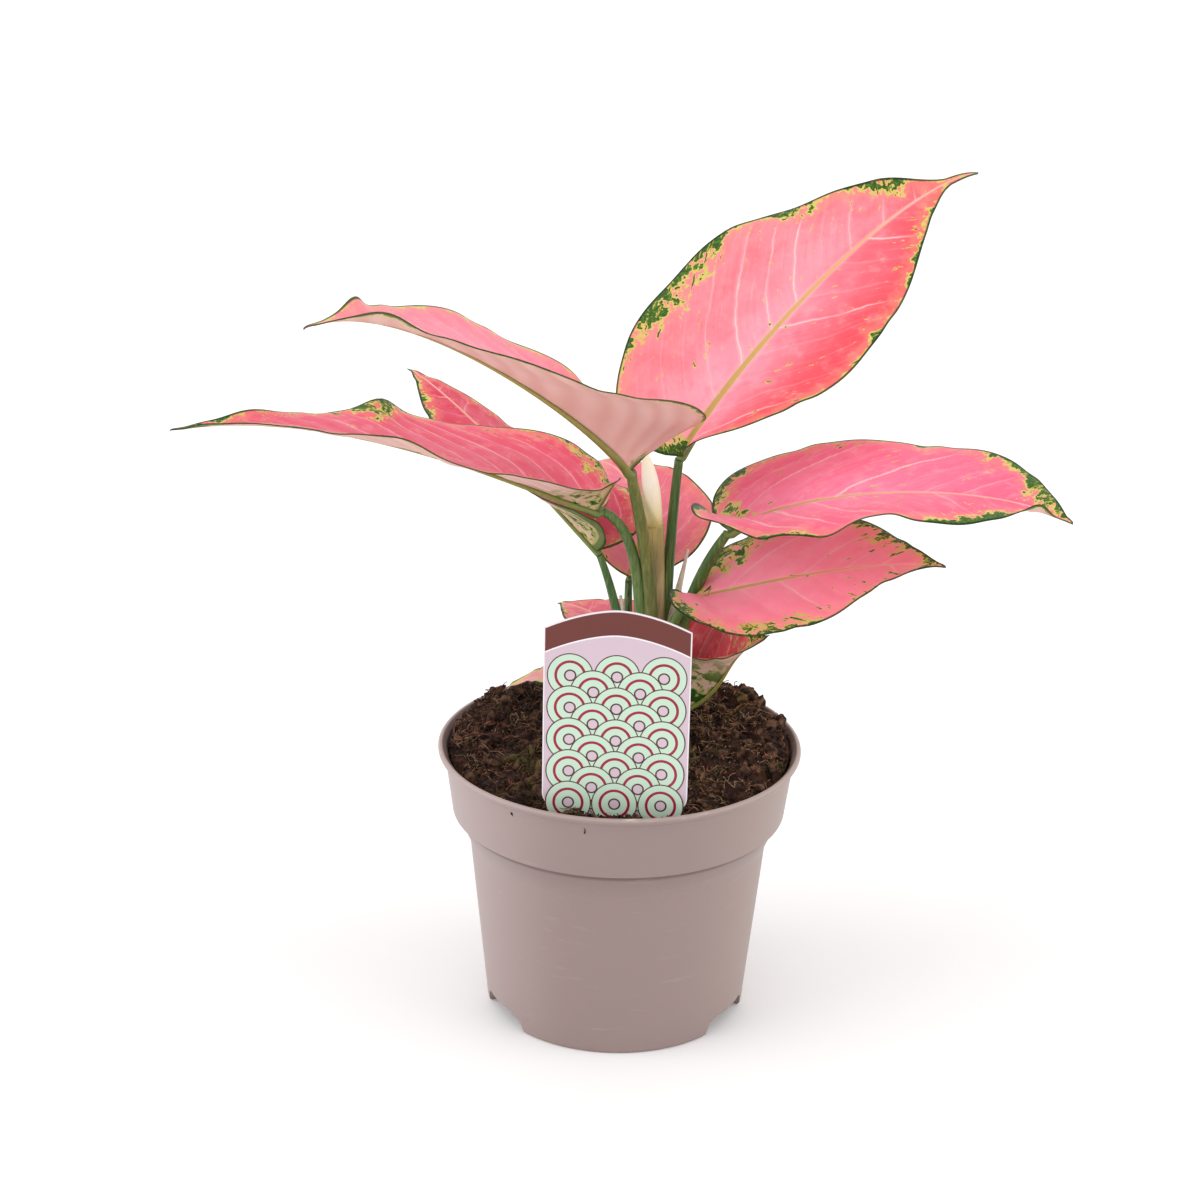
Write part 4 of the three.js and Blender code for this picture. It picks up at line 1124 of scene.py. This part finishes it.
stalks = {
    "upperRight": {
        "path": [(13, 6, 98), (14, 6, 140), (15, 7, 165), (17.2, 7.8, 188.7)],
        "radii": (2.4, 1.5), "tones": ("#66753d", "#47682b", "#3c5f26"),
    },
    "upperLeft": {
        "path": [(8, 3, 96), (13, 1, 150), (4, -5, 174), (1.9, -10.9, 190.5)],
        "radii": (2.6, 1.7), "tones": ("#8c8c55", "#76783a", "#6a7032"),
    },
    "left": {
        "path": [(6, 3, 96), (7, 2, 135), (7, -3, 169), (-6.9, -5.6, 175.6)],
        "radii": (2.4, 1.5), "tones": ("#6c8443", "#5b7a3c", "#54733a"),
    },
    "backLeft": {
        "path": [(4, 6, 96), (1, 4, 130), (-3, 2, 146), (-7.6, 0.2, 158.6)],
        "radii": (2.2, 1.2), "tones": ("#5c7f48", "#48703a", "#456b34"),
    },
    "back": {
        "path": [(5, 9, 96), (2, 9, 118), (2, 11, 132), (2, 13.4, 144.7)],
        "radii": (2, 1.2), "tones": ("#3f6332", "#335626", "#335626"),
    },
    "right": {
        "path": [(14, 3, 96), (17, 2, 136), (26, -3, 158), (32.6, -7.7, 169.3)],
        "radii": (2.8, 1.6), "tones": ("#8b8a52", "#4f7136", "#4c6a30"),
    },
    "lowerRight": {
        "path": [(13, 1, 95), (12, 0, 128), (16, -3, 138), (21.3, -4.5, 144.8)],
        "radii": (2.2, 1.4), "tones": ("#6b7f4c", "#5c7a3c", "#7d8f4d"),
    },
    "lowRight": {
        "path": [(12, 5, 88), (13, 6, 95), (14.2, 6.4, 97.5), (15.8, 6.4, 99.6)],
        "radii": (1.8, 1.2), "tones": ("#7f9a52", "#86984f", "#9aa35a"),
    },
    "lowLeft": {
        "path": [(7, 9, 94), (7, 11, 104), (6.5, 13, 111), (6.2, 15.4, 115.8)],
        "radii": (1.6, 1.1), "tones": ("#55803f", "#55803f", "#55803f"),
    },
    "lowBack": {
        "path": [(4, 9, 88), (0, 12, 94), (-3, 15, 97), (-5.4, 17.6, 99.4)],
        "radii": (1.4, 0.9), "tones": ("#7f9a52", "#8fa060", "#b0a878"),
    },
    "newSheath": {
        "path": [(10, 5, 96), (11.5, 5, 125), (11, 5, 150), (10.2, 5, 168)],
        "radii": (3.2, 2.7), "tones": ("#8c8452", "#c0a47c", "#d8c078"),
    },
    "rightSheath": {
        "path": [(14, 5, 100), (13.5, 4.5, 125), (17, 5, 140), (21, 6, 159)],
        "radii": (3.6, 0.4), "tones": ("#b9b48c", "#dccdb4", "#f6e2d8"),
    },
    "leftSheath": {
        "path": [(4, 2, 100), (3, 1.5, 118), (1.6, 1.6, 130), (-0.6, 2, 144)],
        "radii": (1.8, 0.5), "tones": ("#9fae8a", "#c2c4a8", "#ddd6c4"),
    },
}

stalkOf = {
    "blade_upper_right": "upperRight", "blade_upper_left": "upperLeft", "blade_left": "left",
    "blade_back_left": "backLeft", "blade_back": "back", "blade_right": "right",
    "blade_lower_right": "lowerRight", "blade_low_right": "lowRight", "blade_low_left": "lowLeft",
    "blade_low_back": "lowBack",
}

crown = {
    "centre": (9.5, 5.5), "profile": [(58, 4.5), (66, 6.5), (80, 7.4), (92, 7.6), (102, 6.6), (110, 4.6)],
    "rings": 30, "sides": 36,
}


def stalkMaterial():
    m = Shader("stalkSkin", roughness=0.42, specular=0.45)
    tone = m.attribute("tone", 0)
    place = m.place()
    streak = m.grain(m.stretch(place, (1400, 1400, 90)), 1, 3, 0.6)
    broad = m.grain(m.stretch(place, (160, 160, 60)), 1, 2)
    # Light and dark streaks and darker patches, partly the stalk's own markings and partly painted
    # highlights and painted shade
    colour = m.mix(streak.rise(0.45, 0.7) * 0.35, tone, "#b3b070")
    colour = m.mix(streak.rise(0.5, 0.3) * 0.35, colour, "#3c4a1c")
    colour = m.mix(broad.rise(0.55, 0.35) * 0.35, colour, "#34501e")
    return m.finish(colour, 0.38 + broad * 0.1, m.bump(streak, 0.00012))


def makeStems():
    sides, rings = 20, 56
    points, faces, tones = [], [], []

    def addRings(loops, colours):
        first = len(points)
        for loop, colour in zip(loops, colours):
            points.extend(loop)
            tones.extend([colour] * len(loop))
        count = len(loops[0])
        faces.extend(tuple(reversed(f)) for f in bridge(len(loops), count, True, first))
        faces.append(tuple(range(first, first + count)))
        last = first + (len(loops) - 1) * count
        faces.append(tuple(reversed(range(last, last + count))))

    crownX, crownY = crown["centre"]
    heights = np.linspace(crown["profile"][0][0], crown["profile"][-1][0], crown["rings"])
    radii = np.interp(heights, *zip(*crown["profile"]))
    turns = 2 * math.pi * np.arange(crown["sides"]) / crown["sides"]
    loops = [[(crownX + r * math.cos(a), crownY + r * math.sin(a), h) for a in turns]
             for h, r in zip(heights, radii)]
    addRings(loops, [srgb("#6f8f57")[:3]] * len(loops))
    for stalk in stalks.values():
        s = np.linspace(0, 1, rings)
        centre = bezier(stalk["path"], s)
        tangent = bezierSlope(stalk["path"], s)
        across = np.array((0.0, 1.0, 0.0))
        low, middle, high = (np.array(srgb(tone)[:3]) for tone in stalk["tones"])
        loops, colours = [], []
        for c, direction, share in zip(centre, tangent, s):
            beside = unit(np.cross(direction, across))
            across = unit(np.cross(beside, direction))
            radius = stalk["radii"][0] + (stalk["radii"][1] - stalk["radii"][0]) * share
            inward = np.array((crownX, crownY, c[2])) - c
            channel = math.atan2(inward @ beside, inward @ across)
            loop = []
            for k in range(sides):
                angle = 2 * math.pi * k / sides
                away = math.atan2(math.sin(angle - channel), math.cos(angle - channel))
                r = radius * (1 - 0.2 * math.exp(-(away / 0.5) ** 2))
                loop.append(c + across * r * math.cos(angle) + beside * r * math.sin(angle))
            loops.append(loop)
            colours.append(along((low, middle, high), share).clip(0, 1))
        addRings(loops, colours)
    stems = newPiece("stalkCluster", points, faces, [stalkMaterial()], {"tone": np.array(tones)})
    dress(stems, "green_stem", "stems")
    print("stems", len(stems.data.polygons))


# The new leaf, still rolled up

rolledLeaf = {
    "path": [(9.9, 5, 167.6), (9.3, 5, 174), (8, 5, 184), (6.2, 5, 193)], "rings": 70, "sides": 40,
    "tipRadius": 0.3, "swell": 2.75,
}


def rolledLeafMaterial():
    m = Shader("youngLeaf", roughness=0.4, specular=0.4)
    share = m.attribute("share", 2)
    seam = m.attribute("seam", 2)
    streak = m.grain(m.stretch(m.place(), (1500, 1500, 60)), 1, 3, 0.6)
    colour = m.node("ValToRGB", {"stops": [
        (0.0, "#d8bd70"), (0.2, "#f8ebb8"), (0.6, "#fffbea"), (1.0, "#f4efcf"),
    ]}, [share])
    colour = m.mix(streak.rise(0.5, 0.75) * 0.3, colour, "#e2d794")
    colour = m.mix(seam.rise(0.12, 0.0) * 0.6, colour, "#a8a05c")
    return m.finish(colour, None, m.bump(streak, 0.0001))


def makeRolledLeaf():
    rings, sides = rolledLeaf["rings"], rolledLeaf["sides"]
    s = np.linspace(0, 1, rings)
    centre = bezier(rolledLeaf["path"], s)
    points, shares, seams = [], [], []
    for c, share in zip(centre, s):
        swell = rolledLeaf["swell"] * (0.9 + 0.14 * math.sin(math.pi * share))
        radius = rolledLeaf["tipRadius"] + swell * (1 - share ** 5)
        for k in range(sides):
            turn = (k / sides + 0.55 * share + 0.2) % 1
            r = radius * (0.9 + 0.14 * turn)
            angle = 2 * math.pi * k / sides
            points.append((c[0] + r * math.cos(angle), c[1] + r * math.sin(angle), c[2]))
            shares.append(share)
            seams.append(min(turn, 1 - turn))
    faces = bridge(rings, sides)
    points += [centre[0] - (0, 0, 0.2), centre[-1] + (0, 0, 0.5)]
    shares += [0, 1]
    seams += [0.5, 0.5]
    foot, head = rings * sides, rings * sides + 1
    last = (rings - 1) * sides
    faces += [(foot, (k + 1) % sides, k) for k in range(sides)]
    faces += [(head, last + k, last + (k + 1) % sides) for k in range(sides)]
    piece = newPiece("rolledLeaf", points, faces, [rolledLeafMaterial()], {"share": shares, "seam": seams})
    fixNormals(piece)
    dress(piece, "young_leaf", "rolled_leaf")
    print("rolled leaf", len(piece.data.polygons))


# Tag. Its places are in millimetres on the card: across from its middle, and up from its foot.

tag = {
    "thickness": 0.6, "yaw": -3.5, "lean": 3, "foot": (-1.7, -47.8, 92), "halfTop": 23, "halfLow": 22.9,
    "side": 58.8, "shoulder": 62.7, "peak": 65.1, "bandDepth": 8, "layerStep": 0.005,
    "scaleRadius": 7.3, "scaleRows": 9, "topRow": 43.4, "rowStep": 5.3,
    "scaleBands": [
        ("brown", 1), ("mint", 0.95), ("crimson", 0.68), ("mint", 0.56), ("brown", 0.27), ("lilac", 0.2),
    ],
}


def tagPlace():
    turned = Matrix.Rotation(math.radians(tag["yaw"]), 4, "Z")
    leaned = Matrix.Rotation(math.radians(-tag["lean"]), 4, "X")
    upright = Matrix.Rotation(math.pi / 2, 4, "X")
    return Matrix.Translation(Vector(tag["foot"]) * mm) @ turned @ leaned @ upright


def curvePoints(*stops, steps=14):
    places = bezier([(*p, 0) for p in stops], np.linspace(0, 1, steps + 1)[1:])
    return [tuple(p[:2]) for p in places]


def tagOutline():
    top, low = tag["halfTop"], tag["halfLow"]
    right = [(0, -26), (2, -24), (5.5, -11)]
    right += curvePoints((5.5, -11), (7, -6), (14, -4), (19, -1.5))
    right += curvePoints((19, -1.5), (21.6, -0.2), (low, 1.8), (low, 4))
    right.append((top, tag["side"]))
    right += curvePoints(*archStops(), steps=24)
    return right + [(-x, y) for x, y in reversed(right[1:-1])]


def archStops():
    top, peak = tag["halfTop"], tag["peak"]
    return (top, tag["side"]), (top - 8, tag["shoulder"]), (6, peak), (0, peak)


# The height of the card's arched head over one place, less a drop
def archAt(x, drop):
    curve = np.array([archStops()[0], *curvePoints(*archStops(), steps=60)])
    return float(np.interp(abs(x), curve[::-1, 0], curve[::-1, 1])) - drop


def flatPlate(name, outline, low, high, material):
    work = bmesh.new()
    corners = [work.verts.new((x * mm, y * mm, low * mm)) for x, y in outline]
    face = work.faces.new(corners)
    made = bmesh.ops.extrude_face_region(work, geom=[face])
    lifted = [g for g in made["geom"] if isinstance(g, bmesh.types.BMVert)]
    bmesh.ops.translate(work, verts=lifted, vec=(0, 0, (high - low) * mm))
    bmesh.ops.recalc_face_normals(work, faces=work.faces)
    mesh = bpy.data.meshes.new(name)
    work.to_mesh(mesh)
    work.free()
    mesh.materials.append(material)
    piece = bpy.data.objects.new(name, mesh)
    bpy.context.scene.collection.objects.link(piece)
    return piece


def inkMaterial(name, colour, other, roughness=0.35):
    m = Shader(name, roughness=roughness, specular=0.45)
    place = m.place()
    grainy = m.grain(place, 2600, 2)
    cloudy = m.grain(place, 60, 2)
    tint = m.mix(cloudy, colour, other)
    return m.finish(tint, roughness - 0.05 + cloudy * 0.1, m.bump(grainy, 0.00001))


def disc(centre, radius, steps=36):
    turns = np.arange(steps) * 2 * math.pi / steps
    return [(centre[0] + radius * math.cos(a), centre[1] + radius * math.sin(a)) for a in turns]


def insetOutline(outline, inset):
    points = np.array(outline)
    ahead = np.roll(points, -1, axis=0) - np.roll(points, 1, axis=0)
    return points + unit(np.stack([-ahead[:, 1], ahead[:, 0]], -1)) * inset


def makeTag():
    inks = {
        "card": inkMaterial("cardWhite", "#e6dfe3", "#ece6ea"),
        "lilac": inkMaterial("lilacInk", "#c6b1bd", "#ceb9c4"),
        "maroon": inkMaterial("maroonInk", "#602720", "#692d25"),
        "mint": inkMaterial("mintInk", "#b9d3bd", "#c3dac6"),
        "brown": inkMaterial("brownInk", "#4b2a26", "#553029"),
        "crimson": inkMaterial("crimsonInk", "#900f33", "#9b183b"),
    }
    front = tag["thickness"] / 2
    plates = [flatPlate("tagCard", tagOutline(), -front, front, inks["card"])]
    layer = [front]

    def ink(outline, colour):
        layer[0] += tag["layerStep"]
        plates.append(flatPlate("ink", outline, front - 0.1, layer[0], inks[colour]))

    # A strip under the arched head, between two drops
    def strip(low, high):
        across = np.linspace(0.45 - tag["halfTop"], tag["halfTop"] - 0.45, 49)
        return [(x, archAt(x, low)) for x in across] + [(x, archAt(x, high)) for x in across[::-1]]

    depth = tag["bandDepth"]
    ink(insetOutline(tagOutline(), 0.35), "lilac")
    ink(strip(depth + 0.5, depth), "card")
    ink(strip(depth, 0.5), "maroon")
    radius = tag["scaleRadius"]
    for row in range(tag["scaleRows"]):
        height = tag["topRow"] - row * tag["rowStep"]
        centres = (-radius, radius) if row % 2 else (-2 * radius, 0, 2 * radius)
        for colour, share in tag["scaleBands"]:
            layer[0] += tag["layerStep"]
            for x in centres:
                outline = disc((x, height), radius * share)
                plates.append(flatPlate("ink", outline, front - 0.1, layer[0], inks[colour]))
    joinPieces(plates[0], plates[1:])
    plates[0].data.transform(tagPlace())
    dress(plates[0], "printed_tag", "plant_tag")
    print("tag", len(plates[0].data.polygons))


# Floor, light and camera

stage = {
    "around": 1.0, "floorReach": 9000, "aim": (0, 0, 130),
    "lights": [("left", (-1000, -300, 750), 50, 1.05), ("right", (1000, -250, 600), 50, 0.9)],
}


def makeStage():
    m = Shader("paleFloor", roughness=0.9, specular=0.1)
    cloudy = m.grain(m.place(), 3, 2)
    m.finish(m.mix(cloudy, "#f7f7f7", "#f8f8f8"))
    far = stage["floorReach"]
    corners = [(-far, -far, 0), (far, -far, 0), (far, far, 0), (-far, far, 0)]
    floor = newPiece("floor", corners, [(0, 1, 2, 3)], [m.material], flat=True)

    world = bpy.data.worlds.new("studio")
    world.use_nodes = True
    world.node_tree.nodes["Background"].inputs["Color"].default_value = (1, 1, 1, 1)
    world.node_tree.nodes["Background"].inputs["Strength"].default_value = stage["around"]
    bpy.context.scene.world = world
    for name, place, spread, strength in stage["lights"]:
        data = bpy.data.lights.new(name, "SUN")
        data.energy = strength
        data.angle = math.radians(spread)
        lamp = bpy.data.objects.new(name, data)
        lamp.location = Vector(place) * mm
        aim = Vector(stage["aim"]) * mm - lamp.location
        lamp.rotation_euler = aim.to_track_quat("-Z", "Y").to_euler()
        bpy.context.scene.collection.objects.link(lamp)


cameraView = {"lens": 84.3, "place": (-7.3, -850, 474.2), "pitch": 21.28, "roll": 1.0}


def makeCamera():
    data = bpy.data.cameras.new("camera")
    data.lens = cameraView["lens"]
    data.sensor_width = 36
    data.clip_start = 0.05
    data.clip_end = 40
    camera = bpy.data.objects.new("camera", data)
    turned = Matrix.Rotation(math.radians(90 - cameraView["pitch"]), 4, "X")
    rolled = Matrix.Rotation(math.radians(cameraView["roll"]), 4, "Z")
    camera.matrix_world = Matrix.Translation(Vector(cameraView["place"]) * mm) @ turned @ rolled
    bpy.context.scene.collection.objects.link(camera)
    bpy.context.scene.camera = camera
    bpy.context.scene.view_settings.view_transform = "Standard"


makeCamera()
makeStage()
makePot()
makeSoil()
makeStems()
for number, (name, blade) in enumerate(blades.items(), 1):
    makeBlade(name, blade, number)
makeRolledLeaf()
makeTag()
